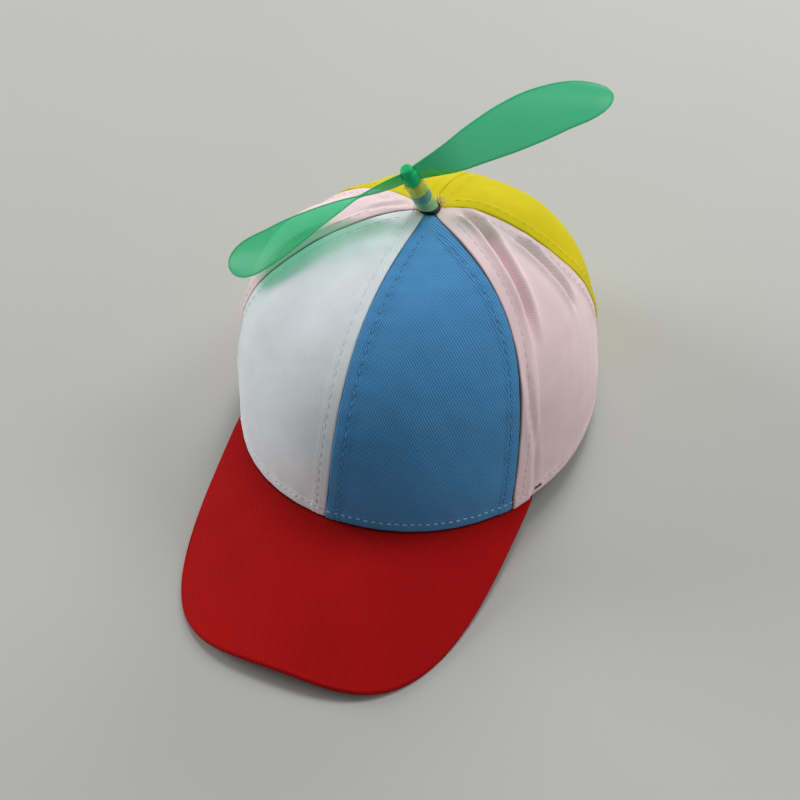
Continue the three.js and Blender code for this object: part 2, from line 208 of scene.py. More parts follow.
def read_rows(place: float, away: Array, values: Array) -> Array:
    """Reads each row of vectors where the row's way has come to a place.

    Args:
        place: The way to read at.
        away: How far each point of each row is.
        values: The vectors at those points.

    Returns:
        One vector for each row.
    """
    rows = zip(away, values)
    return np.array([[np.interp(place, way, row[:, k]) for k in range(3)] for way, row in rows])


# ---------------------------------------------------------------- meshes


@dataclass
class Skin:
    """Points in millimetres, faces, and what the finishes read from them."""

    points: Array
    faces: list[list[int]]
    cloth: Array | None = None
    marks: dict[str, Array] = field(default_factory=dict)

    def joined(self, other: "Skin") -> "Skin":
        """Both skins as one, with the marks of both."""
        shift = len(self.points)
        faces = self.faces + [[corner + shift for corner in face] for face in other.faces]
        marks = {k: np.concatenate([self.marks[k], other.marks[k]]) for k in self.marks}
        return Skin(np.concatenate([self.points, other.points]), faces, None, marks)

    def marked(self, mark: str, value: float) -> "Skin":
        """The skin with one value of a mark all over."""
        self.marks[mark] = np.full(len(self.points), float(value))
        return self


def grid_faces(rows: int, columns: int, start: int = 0, flip: bool = False) -> list[list[int]]:
    """Four-sided faces over a grid of points.

    Args:
        rows: Rows of points.
        columns: Points in a row.
        start: Number of the first point.
        flip: Turns the faces over.

    Returns:
        The faces, one list of corners each.
    """
    r, c = np.meshgrid(np.arange(rows - 1), np.arange(columns - 1), indexing="ij")
    first = (start + r * columns + c).ravel()
    corners = [first, first + 1, first + columns + 1, first + columns]
    if flip:
        corners.reverse()
    return np.stack(corners, 1).tolist()


def shell(outer: Array, inner: Array) -> Skin:
    """A closed skin from two grids of points and the edges between them.

    Args:
        outer: Outer face's points, rows by columns by three.
        inner: Inner face's points in the same order.

    Returns:
        The skin, with the outer face's points first.
    """
    rows, columns = outer.shape[:2]
    count = rows * columns
    faces = grid_faces(rows, columns) + grid_faces(rows, columns, count, flip=True)
    around = list(range(columns))
    around += [r * columns + columns - 1 for r in range(1, rows)]
    around += [(rows - 1) * columns + c for c in range(columns - 2, -1, -1)]
    around += [r * columns for r in range(rows - 2, 0, -1)]
    for here, there in zip(around, around[1:] + around[:1]):
        faces.append([here, here + count, there + count, there])
    points = np.concatenate([outer.reshape(-1, 3), inner.reshape(-1, 3)])
    return Skin(points, faces)


def lathe(outline: Array, sides: int, closed: bool) -> Skin:
    """Turns an outline of radius and height about +Z.

    Args:
        outline: Rows of radius and height, upwards along the outer face.
        sides: Points round the axis.
        closed: True for a ring, whose outline comes back to its start.

    Returns:
        The turned skin.
    """
    angle = np.arange(sides) * 2 * math.pi / sides
    radius, height = outline[:, :1], np.repeat(outline[:, 1:], sides, axis=1)
    points = np.stack([radius * np.cos(angle), radius * np.sin(angle), height], axis=2)
    faces = []
    steps = len(outline) if closed else len(outline) - 1
    for k in range(steps):
        low, high = k * sides, (k + 1) % len(outline) * sides
        for s in range(sides):
            t = (s + 1) % sides
            faces.append([low + s, low + t, high + t, high + s])
    if not closed:
        faces.append(list(range(sides))[::-1])
        faces.append([(len(outline) - 1) * sides + s for s in range(sides)])
    return Skin(points.reshape(-1, 3), faces)


def softened(
    corners: list[tuple[float, float]], radius: float, closed: bool, steps: int = 7
) -> Array:
    """Rounds the corners of an outline.

    Args:
        corners: The outline's corners.
        radius: How far from each corner the rounding starts.
        closed: True where the last corner joins the first.
        steps: Points in each rounding.

    Returns:
        The rounded outline.
    """
    places = np.array(corners, float)
    count = len(places)
    most = 0.48  # of an edge, so that two roundings never meet
    made = []
    for k, here in enumerate(places):
        if not closed and k in (0, count - 1):
            made.append(here)
            continue
        before, after = places[k - 1], places[(k + 1) % count]
        back, on = np.linalg.norm(before - here), np.linalg.norm(after - here)
        start = here + (before - here) * min(radius / back, most)
        end = here + (after - here) * min(radius / on, most)
        for share in np.linspace(0, 1, steps):
            toward = (1 - share) ** 2 * start + 2 * share * (1 - share) * here
            made.append(toward + share**2 * end)
    return np.array(made)


def tubes(paths: Array, normals: Array, radii: Array, sides: int = 6) -> Skin:
    """Round strands along many paths at once.

    Args:
        paths: Strands by stations by three, in millimetres.
        normals: A direction across each path, of the same shape.
        radii: The radius at each station.
        sides: Points round a strand.

    Returns:
        One skin of all strands, with the share along each strand marked as "along".
    """
    strands, stations = paths.shape[:2]
    ahead = unit(np.gradient(paths, axis=1))
    aside = unit(np.cross(ahead, normals))
    above = np.cross(aside, ahead)
    angle = np.arange(sides) * 2 * math.pi / sides
    ring = aside[:, :, None] * np.cos(angle)[:, None] + above[:, :, None] * np.sin(angle)[:, None]
    points = paths[:, :, None] + ring * np.broadcast_to(radii, (strands, stations))[..., None, None]
    faces = []
    for strand in range(strands):
        base = strand * stations * sides
        for k in range(stations - 1):
            low = base + k * sides
            for s in range(sides):
                t = (s + 1) % sides
                faces.append([low + s, low + sides + s, low + sides + t, low + t])
        faces.append([base + s for s in range(sides)])
        last = base + (stations - 1) * sides
        faces.append([last + s for s in range(sides)][::-1])
    along = np.broadcast_to(np.linspace(0, 1, stations)[:, None], (strands, stations, sides))
    return Skin(points.reshape(-1, 3), faces, None, {"along": along.ravel().copy()})


def make_piece(
    name: str, skin: Skin, material: Material, body: Body
) -> bpy.types.Object:
    """Makes an object of a skin, dresses it and sets it on its body.

    Args:
        name: The piece's plain name.
        skin: Its shape in the floor's frame, in millimetres.
        material: Its finish.
        body: The body that it rides on.

    Returns:
        The object.
    """
    mesh = bpy.data.meshes.new(name)
    mesh.from_pydata((skin.points * MM).tolist(), [], skin.faces)
    mesh.polygons.foreach_set("use_smooth", np.ones(len(mesh.polygons), bool))
    corners = np.empty(len(mesh.loops), np.int32)
    mesh.loops.foreach_get("vertex_index", corners)
    if skin.cloth is not None:
        layer = mesh.uv_layers.new(name=CLOTH_MAP)
        layer.data.foreach_set("uv", skin.cloth[corners].astype(np.float32).ravel())
    for mark, values in skin.marks.items():
        attribute = mesh.attributes.new(mark, "FLOAT", "POINT")
        attribute.data.foreach_set("value", values.astype(np.float32))
    mesh.materials.append(material)
    mesh.update()
    piece = bpy.data.objects.new(name, mesh)
    bpy.context.scene.collection.objects.link(piece)
    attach(piece, body.value)
    LOG.info("%s: %d faces on %s", name, len(mesh.polygons), body.value)
    return piece


# ---------------------------------------------------------------- finishes


def add_node(
    tree: bpy.types.NodeTree,
    kind: str,
    settings: dict[str | int, Any] | None = None,
    links: dict[str | int, bpy.types.Node | bpy.types.NodeSocket] | None = None,
) -> bpy.types.Node:
    """Adds a node with its settings and links.

    Args:
        tree: The material's node tree.
        kind: The node's type, without the word that they all start with.
        settings: Values by name: lower case for the node's own properties, else for a socket.
        links: What feeds each named socket: an output, or a node for its Fac or first output.

    Returns:
        The node.
    """
    made = tree.nodes.new("ShaderNode" + kind)
    for key, value in (settings or {}).items():
        if isinstance(key, str) and key.islower():
            setattr(made, key, value)
        else:
            made.inputs[key].default_value = value
    for key, source in (links or {}).items():
        if isinstance(source, bpy.types.Node):
            source = source.outputs["Fac" if "Fac" in source.outputs else 0]
        tree.links.new(source, made.inputs[key])
    return made


def new_material(name: str) -> tuple[Material, bpy.types.NodeTree]:
    """Starts a material without nodes."""
    material = bpy.data.materials.new(name)
    material.use_nodes = True
    material.node_tree.nodes.clear()
    return material, material.node_tree


@dataclass(frozen=True)
class TwillFinish:
    """Cotton twill, woven and piece-dyed: fine slanting ribs, matt, with a faint bloom of
    loose fibre that pales it at the edges."""

    name: str
    rib_colour: str
    valley_colour: str
    rib_mm: float = 1.0
    """Spacing of the ribs. Real twill has 0.6 mm; drawn coarser so that it shows."""
    lean_degrees: float = -30.0
    roughness: float = 0.86
    specular: float = 0.25
    sheen: float = 0.12
    relief_mm: float = 0.11
    mottle: float = 0.07
    """How far the dye's brightness strays."""
    beading: float = 0.26
    """Share of the weave's height that is beads, not ribs."""
    fuzz: float = 0.35

    def material(self) -> Material:
        """Builds the material from the cloth map, which is in millimetres along the grain."""
        material, tree = new_material(self.name)
        cloth = add_node(tree, "UVMap", {"uv_map": CLOTH_MAP})
        grain = {"Vector": cloth}
        lean = (0, 0, math.radians(self.lean_degrees))
        across = {"Vector": add_node(tree, "Mapping", {"Rotation": lean}, grain)}
        wave = {"Scale": WAVE_SCALE / self.rib_mm, "Distortion": 1.1}
        wave |= {"Detail": 2, "Detail Scale": 0.7}
        ribs = add_node(tree, "TexWave", wave, across)
        # Each rib is a row of short floats of yarn, which breaks it into beads
        wave |= {"bands_direction": "Y", "Scale": WAVE_SCALE / (self.rib_mm * 0.95)}
        wave |= {"Distortion": 1.4, "Detail Scale": 0.9}
        floats = add_node(tree, "TexWave", wave, across)
        beads = add_node(tree, "Math", {"operation": "MULTIPLY", 1: self.beading}, {0: floats})
        woven = {"operation": "MULTIPLY_ADD", 1: 1 - self.beading}
        weave = add_node(tree, "Math", woven, {0: ribs, 2: beads})
        dye = add_node(tree, "TexNoise", {"Scale": 0.035, "Detail": 5, "Roughness": 0.6}, grain)
        fuzz = add_node(tree, "TexNoise", {"Scale": 1.4, "Detail": 3, "Roughness": 0.7}, grain)
        # Valleys take a darker colour than ribs: painted shade of the weave, on top of the bump's
        # real relief.
        tones = {"data_type": "RGBA", 6: linear(self.valley_colour), 7: linear(self.rib_colour)}
        yarn = add_node(tree, "Mix", tones, {0: weave})
        span = {"From Min": 0.3, "From Max": 0.7}
        span |= {"To Min": 1 - self.mottle, "To Max": 1 + self.mottle}
        shade = add_node(tree, "MapRange", span, {"Value": dye})
        # The mark "open" is painted shade: it darkens the cloth along the rim and in the seam
        # grooves.
        seam = add_node(tree, "Attribute", {"attribute_name": "open"})
        mottle_and_painted_shade = add_node(tree, "Math", {"operation": "MULTIPLY"}, {0: shade, 1: seam})
        dimmed = {0: yarn.outputs[2], "Scale": mottle_and_painted_shade}
        # So the base colour carries the dye's real mottle and the painted shade of the mark "open".
        dyed = add_node(tree, "VectorMath", {"operation": "SCALE"}, dimmed)
        fuzzed = {"operation": "MULTIPLY_ADD", 1: self.fuzz}
        height = add_node(tree, "Math", fuzzed, {0: fuzz, 2: weave})
        bump = add_node(tree, "Bump", {"Distance": self.relief_mm * MM}, {"Height": height})
        surface = {
            "Roughness": self.roughness,
            "IOR": 1.46,
            "Specular IOR Level": self.specular,
            "Sheen Weight": self.sheen,
            "Sheen Roughness": 0.5,
        }
        cotton = add_node(tree, "BsdfPrincipled", surface, {"Base Color": dyed, "Normal": bump})
        add_node(tree, "OutputMaterial", None, {"Surface": cotton})
        return material


@dataclass(frozen=True)
class ThreadFinish:
    """Spun polyester thread: a little brighter than the cloth, with painted shade at each stitch's
    ends."""

    name: str
    colour: str
    pit_shade_colour: str = ""
    # Colour where the thread dips in, or the thread's own where none is given: painted shade at the
    # stitch's ends.
    """Colour where the thread dips in, or the thread's own where none is given."""
    roughness: float = 0.55

    def material(self) -> Material:
        """Builds the material, which reads how far along its stitch a point is."""
        material, tree = new_material(self.name)
        along = add_node(tree, "Attribute", {"attribute_name": "along"})
        ends = add_node(tree, "Math", {"operation": "PINGPONG", 1: 0.5}, {0: along})
        free = add_node(tree, "MapRange", {"From Min": 0.06, "From Max": 0.3}, {"Value": ends})
        # Both ends of a stitch take the darker pit colour: painted shade where the thread dips into
        # the cloth.
        pit_shade = linear(self.pit_shade_colour or self.colour)
        tones = {"data_type": "RGBA", 6: pit_shade, 7: linear(self.colour)}
        thread_and_pit_shade = add_node(tree, "Mix", tones, {0: free})
        surface = {"Roughness": self.roughness, "IOR": 1.5, "Specular IOR Level": 0.4}
        thread = add_node(tree, "BsdfPrincipled", surface, {"Base Color": thread_and_pit_shade.outputs[2]})
        add_node(tree, "OutputMaterial", None, {"Surface": thread})
        return material


@dataclass(frozen=True)
class PlasticFinish:
    """Moulded or extruded plastic: an even colour under a soft gloss, a little uneven where
    it cooled, and see-through where it is thin."""

    name: str
    colour: str
    edge_colour: str
    roughness: float
    ior: float = 1.49
    passes: float = 0.0
    """Share of light that goes straight through a wall."""
    passed_colour: str = "#FFFFFF"
    coat: float = 0.0
    grain_mm: float = 1.6
    grain_relief_mm: float = 0.02

    def material(self) -> Material:
        """Builds the material, which reads the mark "thick" where walls are thick."""
        material, tree = new_material(self.name)
        place = add_node(tree, "TexCoord").outputs["Object"]
        grain = {"Scale": 1 / (self.grain_mm * MM) / 6, "Detail": 4, "Roughness": 0.55}
        cooled = add_node(tree, "TexNoise", grain, {"Vector": place})
        thick = add_node(tree, "Attribute", {"attribute_name": "thick"})
        tones = {"data_type": "RGBA", 6: linear(self.colour), 7: linear(self.edge_colour)}
        colour = add_node(tree, "Mix", tones, {0: thick})
        span = {"From Min": 0.3, "From Max": 0.7}
        span |= {"To Min": self.roughness - 0.06, "To Max": self.roughness + 0.06}
        gloss = add_node(tree, "MapRange", span, {"Value": cooled})
        bump = add_node(tree, "Bump", {"Distance": self.grain_relief_mm * MM}, {"Height": cooled})
        surface = {"IOR": self.ior, "Coat Weight": self.coat, "Coat Roughness": 0.25}
        feeds = {"Base Color": colour.outputs[2], "Roughness": gloss, "Normal": bump}
        made = add_node(tree, "BsdfPrincipled", surface, feeds)
        if self.passes:
            # Light goes through two faces of a wall, so each face passes the square root
            tint = tuple(math.sqrt(part) for part in linear(self.passed_colour))
            clear = add_node(tree, "BsdfTransparent", {"Color": tint})
            stopped = {"To Min": 1 - math.sqrt(self.passes)}
            solid = add_node(tree, "MapRange", stopped, {"Value": thick})
            made = add_node(tree, "MixShader", None, {0: solid, 1: clear, 2: made})
        add_node(tree, "OutputMaterial", None, {"Surface": made})
        return material


@dataclass(frozen=True)
class FloorFinish:
    """Painted board, rolled matt: pale grey, with the faintest unevenness."""

    name: str = "painted_board_pale"
    colour: str = "#B7B8B4"
    worn_colour: str = "#B3B4B0"

    def material(self) -> Material:
        """Builds the floor's material."""
        material, tree = new_material(self.name)
        place = add_node(tree, "TexCoord").outputs["Object"]
        uneven = add_node(tree, "TexNoise", {"Scale": 9, "Detail": 4}, {"Vector": place})
        tones = {"data_type": "RGBA", 6: linear(self.worn_colour), 7: linear(self.colour)}
        paint = add_node(tree, "Mix", tones, {0: uneven})
        surface = {"Roughness": 0.7, "Specular IOR Level": 0.2}
        board = add_node(tree, "BsdfPrincipled", surface, {"Base Color": paint.outputs[2]})
        add_node(tree, "OutputMaterial", None, {"Surface": board})
        return material


# ---------------------------------------------------------------- the cap's form


@dataclass(frozen=True)
class SeamLine:
    """Where a seam runs up the crown, in degrees of azimuth."""

    rim: float
    turn: float
    bow: float
    ess: float

    def azimuth(self, rise: Array) -> Array:
        """The seam's azimuth at each share of the way up."""
        quarter = rise * math.pi / 2
        bend = self.bow * np.sin(2 * quarter) + self.ess * np.sin(4 * quarter)
        return self.rim + self.turn * np.sin(quarter) + bend


class Seam(Enum):
    """The six seams of the crown."""

    FRONT = SeamLine(-94, 3, 0, 1)
    RIGHT = SeamLine(-37.5, 0.5, 5, -2)
    BACK_RIGHT = SeamLine(27.5, 7.5, -14, 5)
    REAR = SeamLine(90, 0, 0, 0)
    BACK_LEFT = SeamLine(153.5, 1, 5.5, -1)
    LEFT = SeamLine(205.5, -9, 11, -5.5)


@dataclass
class CapForm:
    """The smooth form under the cloth, the same as the solids have."""

    joint_mm: Array
    half_width: float = 80.0
    half_length: float = 94.0
    crown_rise: float = 93.7
    apex_back: float = 7.8
    front_rise: float = 3.8
    wall: float = 2.0
    seam_gap: float = 0.3
    hole_radius: float = 3.4
    peak_depth: float = 62.6
    peak_half_width: float = 65.7
    peak_thickness: float = 3.0
    peak_edge_round: float = 0.8
    peak_slope_degrees: float = 17.3
    peak_corner_power: float = 3.3
    temple_azimuth: float = 61.0
    settle: float = 0.5
    post_tilt_degrees: float = 27.9
    post_heading_degrees: float = 242.4
    post_forward: float = 1.0
    hub_foot: float = 19.3236
    """The hub's lower face up the post, over ring, tubes and the gaps between them."""
    spin_degrees: float = 150.0
    section: tuple[tuple[float, float, float], ...] = (
        (-90, 2.6, 0), (-62, 2.65, 0), (-35, 2.75, 0), (-8, 2.6, 0), (15, 2.3, 0),
        (40, 2.55, 0.02), (90, 2.35, 0), (140, 2.35, 0), (165, 2.55, 0), (188, 3.3, 0),
        (215, 2.95, 0), (242, 2.65, 0), (270, 2.6, 0),
    )  # fmt: skip
    """The crown's section round the rim: azimuth, fullness and bulge."""

    def __post_init__(self) -> None:
        """Works out the peak's arch, the pitch at which the cap rests, and its place."""
        rows = np.array(self.section, float)
        self.section_at, self.fullness, self.bulge = rows.T
        self.temple = self.rim_plan(np.array(self.temple_azimuth - 90))
        self.slope = math.tan(math.radians(self.peak_slope_degrees))
        temple_rise = self.front_rise + self.slope * (self.half_length + self.temple[1])
        self.arch = temple_rise / self.temple[0] ** 2
        self.peak_reach = self.peak_depth + self.half_length + self.temple[1]
        edge = self.peak_outline(np.linspace(0, 1, 45))
        below = self.peak_thickness - self.peak_edge_round + self.seam_gap
        below = below - self.peak_top(edge[:, 0], edge[:, 1])
        self.pitch = float(np.arctan2(below, self.half_length - edge[:, 1]).max())
        self.lift = self.half_length * math.sin(self.pitch) - self.settle
        self.upright = turning(0, -self.pitch)
        heading = turning(2, math.radians(self.post_heading_degrees))
        self.post_turn = self.upright @ (heading @ turning(1, math.radians(self.post_tilt_degrees)))
        over = self.crown_rise + self.seam_gap
        self.post_top = np.array([0.0, self.apex_back - self.post_forward, over])
        foot = self.upright @ self.post_top + np.array([0, 0, self.lift])
        joint = foot + self.post_turn @ np.array([0, 0, self.hub_foot])
        self.shift = self.joint_mm - joint
        self.post_foot = foot + self.shift

    def rim_plan(self, azimuth: Array, inset: float = 0.0) -> Array:
        """The rim's outline from above, moved in by an inset."""
        angle = np.radians(azimuth)
        place = np.stack([self.half_width * np.cos(angle), self.half_length * np.sin(angle)], -1)
        outward = unit(place / np.array([self.half_width**2, self.half_length**2]))
        return place - inset * outward

    def peak_top(self, x: Array, y: Array) -> Array:
        """Height of the peak's top face over the rim's plane."""
        return self.front_rise + self.slope * (self.half_length + y) - self.arch * x * x

    def rim_height(self, azimuth: Array) -> Array:
        """Height of the crown's lower edge, which rides over the peak in front."""
        from_front = np.abs((azimuth + 90 + 180) % 360 - 180)
        place = self.rim_plan(azimuth)
        over = self.peak_top(place[..., 0], place[..., 1])
        return np.where(from_front < self.temple_azimuth, over, 0.0)

    def crown_point(self, azimuth: Array, rise: Array) -> Array:
        """A point of the crown's smooth outer face."""
        wrapped = (azimuth + 90) % 360 - 90
        power = from_table(self.section_at, self.fullness, wrapped)
        bulge = from_table(self.section_at, self.bulge, wrapped)
        angle = rise * math.pi / 2
        across, up = np.cos(angle), np.sin(angle)
        scale = (across**power + up**power) ** (-1 / power)
        reach = across * scale
        full = reach * (1 + bulge * np.sin(2 * angle))
        base = self.rim_height(azimuth)
        turn = np.radians(azimuth)
        x = self.half_width * np.cos(turn) * full
        y = self.half_length * np.sin(turn) * full + self.apex_back * (1 - reach)
        return np.stack([x, y, base + (self.crown_rise - base) * up * scale], -1)

    def crown_normal(self, azimuth: Array, rise: Array) -> Array:
        """The direction out of the crown's smooth face."""
        turn, step = 0.5, 0.01
        round_ = self.crown_point(azimuth + turn, rise) - self.crown_point(azimuth - turn, rise)
        low = np.maximum(rise - step, 0)
        upward = self.crown_point(azimuth, rise + step) - self.crown_point(azimuth, low)
        foot = np.clip(rise / step, 0, 1)[..., None]
        round_ = round_ * np.concatenate([np.ones_like(foot), np.ones_like(foot), foot], -1)
        upward = upward * foot + np.array([0.0, 0.0, 1.0]) * (1 - foot)
        return unit(np.cross(round_, upward))

    def peak_outline(self, share: Array) -> Array:
        """The peak's outline, from the right temple (0) round the front to the left (1)."""
        angle = share * math.pi
        power = 2 / self.peak_corner_power
        forward = np.maximum(np.sin(angle), 0) ** power
        side = np.sign(np.cos(angle)) * np.abs(np.cos(angle)) ** power
        ease = 1 - (1 - forward) ** 2
        wide = self.temple[0] + (self.peak_half_width - self.temple[0]) * ease
        return np.stack([wide * side, self.temple[1] - self.peak_reach * forward], -1)

    def placed(self, points: Array) -> Array:
        """Points of the rim's frame in the floor's frame."""
        return points @ self.upright.T + np.array([0, 0, self.lift]) + self.shift

    def laid(self, points: Array) -> Array:
        """Points of the rim's frame on the floor, where the cloth flattens as it settles."""
        made = self.placed(points)
        made[..., 2] = np.maximum(made[..., 2], 0)
        return made

    def on_post(self, points: Array) -> Array:
        """Points of the leaning post's frame in the floor's frame."""
        return points @ self.post_turn.T + self.post_foot

    def on_hub(self, points: Array) -> Array:
        """Points of the propeller's own frame in the floor's frame."""
        turned = points @ turning(2, math.radians(self.spin_degrees)).T
        return self.on_post(turned + np.array([0, 0, self.hub_foot]))


# ---------------------------------------------------------------- the crown


@dataclass(frozen=True)
class Crease:
    """A fold in the cloth along places given as azimuth and share of the way up."""

    places: tuple[tuple[float, float], ...]
    width: float
    depth: float
    rolls: float = 0.4
    """Height of the rolls that rise beside the fold, as a share of its depth."""
    roll_at: float = 1.9
    """How far out the rolls are, in widths."""
    fades: tuple[float, float] = (0.22, 0.3)
    """Shares of the fold's length in which it deepens and runs out."""
    steps: int = 12

    def press(self, form: CapForm, points: Array) -> Array:
        """How far the cloth rises at each point, in millimetres.

        Args:
            form: The cap's form.
            points: Points of the crown, in rows of three.

        Returns:
            A height for each point, below 0 in the fold.
        """
        rows = np.array(self.places)
        stops = np.linspace(0, len(rows) - 1, self.steps * (len(rows) - 1) + 1)
        azimuth = np.interp(stops, np.arange(len(rows)), rows[:, 0])
        rise = np.interp(stops, np.arange(len(rows)), rows[:, 1])
        away, share = near_line(points, form.crown_point(azimuth, rise))
        away = away / self.width
        fade = eased(0, self.fades[0], share) * eased(0, self.fades[1], 1 - share)
        roll = np.exp(-((away - self.roll_at) ** 2))
        return self.depth * fade * (self.rolls * roll - np.exp(-(away**2)))


@dataclass(frozen=True)
class Flap:
    """The turned-in edge under a seam, which shows as a low step beside it."""

    width: float = 6.0
    height: float = 0.45


@dataclass
class CrownPanel:
    """One sewn panel of the crown, with its seam edges, hem, rows of stitches and folds."""

    name: str
    slot: str
    start: Seam
    end: Seam
    start_flap: Flap = Flap()
    end_flap: Flap = Flap()
    creases: tuple[Crease, ...] = ()
    seed: int = 1
    start_shade: float = 0.3
    end_shade: float = 0.3
    # Painted shade in the groove of each seam: its brightness there, where 1 leaves it as bright as
    # the cloth.
    """Brightness in the groove of each seam, where 1 leaves it as bright as the cloth."""
    pull: float = 1.0
    """How far the stitches pull the cloth in."""
    hem_thread: str = ""
    half_columns: int = 46
    column_crowding: float = 1.6
    hem_rows: int = 14
    rows: int = 150
    hem: float = 7.0
    edge_round: float = 0.9
    stitch_row: float = 4.8
    hem_row: float = 4.5
    pitch_mm: float = 4.3
    row_width: float = 0.6
    hem_step: tuple[float, float] = (5.2, 6.6)
    hem_height: float = 0.4
    hem_pull: float = 0.32
    pucker: float = 0.13
    hem_pucker: float = 0.12
    pucker_reach: float = 4.0
    room: tuple[float, float] = (10.0, 22.0)
    """Widths of panel between which the relief of its seams grows to full height."""
    slack: tuple[tuple[float, float, int], ...] = ((0.42, 26, 0), (0.12, 9, 40))
    """Layers of slackness: height, shortest wave, and what is added to the seed."""

    def survey(self, form: CapForm) -> None:
        """Lays a grid over the panel and measures each point's way from the seams and rim."""
        top = 1 - math.asin(form.hole_radius / form.half_width) * 2 / math.pi
        fine = np.linspace(0, top, 500)
        middle = self.start.value.azimuth(fine) + self.width_at(fine) / 2
        length = way_along(form.crown_point(middle, fine))
        in_hem = np.linspace(0, self.hem, self.hem_rows, endpoint=False)
        over_hem = np.linspace(self.hem, length[-1], self.rows - self.hem_rows)
        rise = np.interp(np.concatenate([in_hem, over_hem]), length, fine)
        even = np.linspace(-1, 1, 2 * self.half_columns + 1)
        share = 0.5 + 0.5 * np.sign(even) * (1 - (1 - np.abs(even)) ** self.column_crowding)
        self.rise = np.repeat(rise[:, None], len(share), axis=1)
        azimuth = self.start.value.azimuth(rise)[:, None] + self.width_at(rise)[:, None] * share
        self.base = form.crown_point(azimuth, self.rise)
        self.normal = form.crown_normal(azimuth, self.rise)
        self.from_start = way_along(self.base, 1)
        self.width = self.from_start[:, -1:]
        self.from_end = self.width - self.from_start
        self.up = way_along(self.base)

    def width_at(self, rise: Array) -> Array:
        """The panel's width in degrees at each share of the way up."""
        return (self.end.value.azimuth(rise) - self.start.value.azimuth(rise)) % 360

    def body_relief(self, form: CapForm) -> Array:
        """Folds and slackness, which the cloth has through its whole thickness."""
        flat = self.base.reshape(-1, 3)
        height = sum(tall * swell(flat, wave, self.seed + step) for tall, wave, step in self.slack)
        for crease in self.creases:
            height = height + crease.press(form, flat)
        height = height.reshape(self.up.shape)
        radius = np.hypot(self.base[..., 0], self.base[..., 1] - form.apex_back)
        return height * eased(8, 15, radius) * (0.35 + 0.65 * eased(0, 9, self.up))

    def edge_relief(self) -> Array:
        """Seam edges, hem and stitch rows, which only the outer face has."""
        room = eased(*self.room, self.width)
        height = np.zeros_like(self.up)
        for away, flap, phase in (
            (self.from_start, self.start_flap, 0.0),
            (self.from_end, self.end_flap, 1.3),
        ):
            inside = np.clip(1 - away / self.edge_round, 0, 1)
            height -= self.edge_round * (1 - np.sqrt(1 - inside**2))
            height += flap.height * room * (1 - eased(flap.width - 0.5, flap.width + 1.3, away))
            pull = 0.5 + 0.5 * np.cos(2 * math.pi * self.up / self.pitch_mm)
            row = np.exp(-(((away - self.stitch_row) / self.row_width) ** 2))
            height -= self.pull * room * row * (0.2 + 0.16 * pull)
            pucker = np.sin(2 * math.pi * self.up / 8.7 + phase + 2 * np.sin(self.up / 17))
            near = np.exp(-np.abs(away - self.stitch_row) / self.pucker_reach)
            height += self.pucker * self.pull * room * pucker * near
        inside = np.clip(1 - self.up / self.edge_round, 0, 1)
        height -= self.edge_round * (1 - np.sqrt(1 - inside**2))
        height += self.hem_height * (1 - eased(*self.hem_step, self.up))
        height -= self.hem_pull * np.exp(-(((self.up - self.hem_row) / self.row_width) ** 2))
        pucker = np.sin(2 * math.pi * self.from_start / 9.1 + 3 * np.sin(self.from_start / 23))
        near = np.exp(-np.abs(self.up - self.hem_row) / self.pucker_reach)
        height += self.hem_pucker * pucker * near
        return height

    def build(self, form: CapForm, finish: Material) -> bpy.types.Object:
        """Makes the panel in place of its solid.

        Args:
            form: The cap's form.
            finish: The twill.

        Returns:
            The panel's object.
        """
        self.survey(form)
        soft = self.body_relief(form)
        self.outer = self.base + self.normal * (soft + self.edge_relief())[..., None]
        inner = self.base + self.normal * (soft - form.wall)[..., None]
        skin = shell(form.laid(self.outer), form.laid(inner))
        cloth = np.stack([self.from_start - self.width / 2, self.up], -1).reshape(-1, 2)
        skin.cloth = np.concatenate([cloth, cloth])
        # Painted shade in the mark "open": darker along the rim, where the hem meets the peak, and
        # in each seam's groove.
        lit = 0.3 + 0.7 * eased(-0.1, 0.4, self.up)
        for away, shade in ((self.from_start, self.start_shade), (self.from_end, self.end_shade)):
            lit = lit * (shade + (1 - shade) * eased(0, 0.45, away))
        skin.marks["open"] = np.concatenate([lit.ravel(), np.ones(lit.size)])
        piece = make_piece(f"crown_{self.name}", skin, finish, Body.CAP)
        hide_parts(f"panel_{self.name}")
        return piece

    def row_beside(self, at_end: bool, offset: float) -> tuple[Array, Array]:
        """The line on the cloth at an offset from a seam.

        Args:
            at_end: True for the seam where the panel ends.
            offset: Millimetres from the seam.

        Returns:
            Points and normals, from the rim up.
        """
        away = self.from_end[:, ::-1] if at_end else self.from_start
        outer = self.outer[:, ::-1] if at_end else self.outer
        normal = self.normal[:, ::-1] if at_end else self.normal
        keep = np.flatnonzero(self.width[:, 0] > 2.4 * offset)
        points = read_rows(offset, away[keep], outer[keep])
        return points, unit(read_rows(offset, away[keep], normal[keep]))

    def row_above_rim(self, offset: float) -> tuple[Array, Array]:
        """The line on the cloth at an offset above the rim, as points and normals."""
        points = read_rows(offset, self.up.T, self.outer.swapaxes(0, 1))
        return points, unit(read_rows(offset, self.up.T, self.normal.swapaxes(0, 1)))


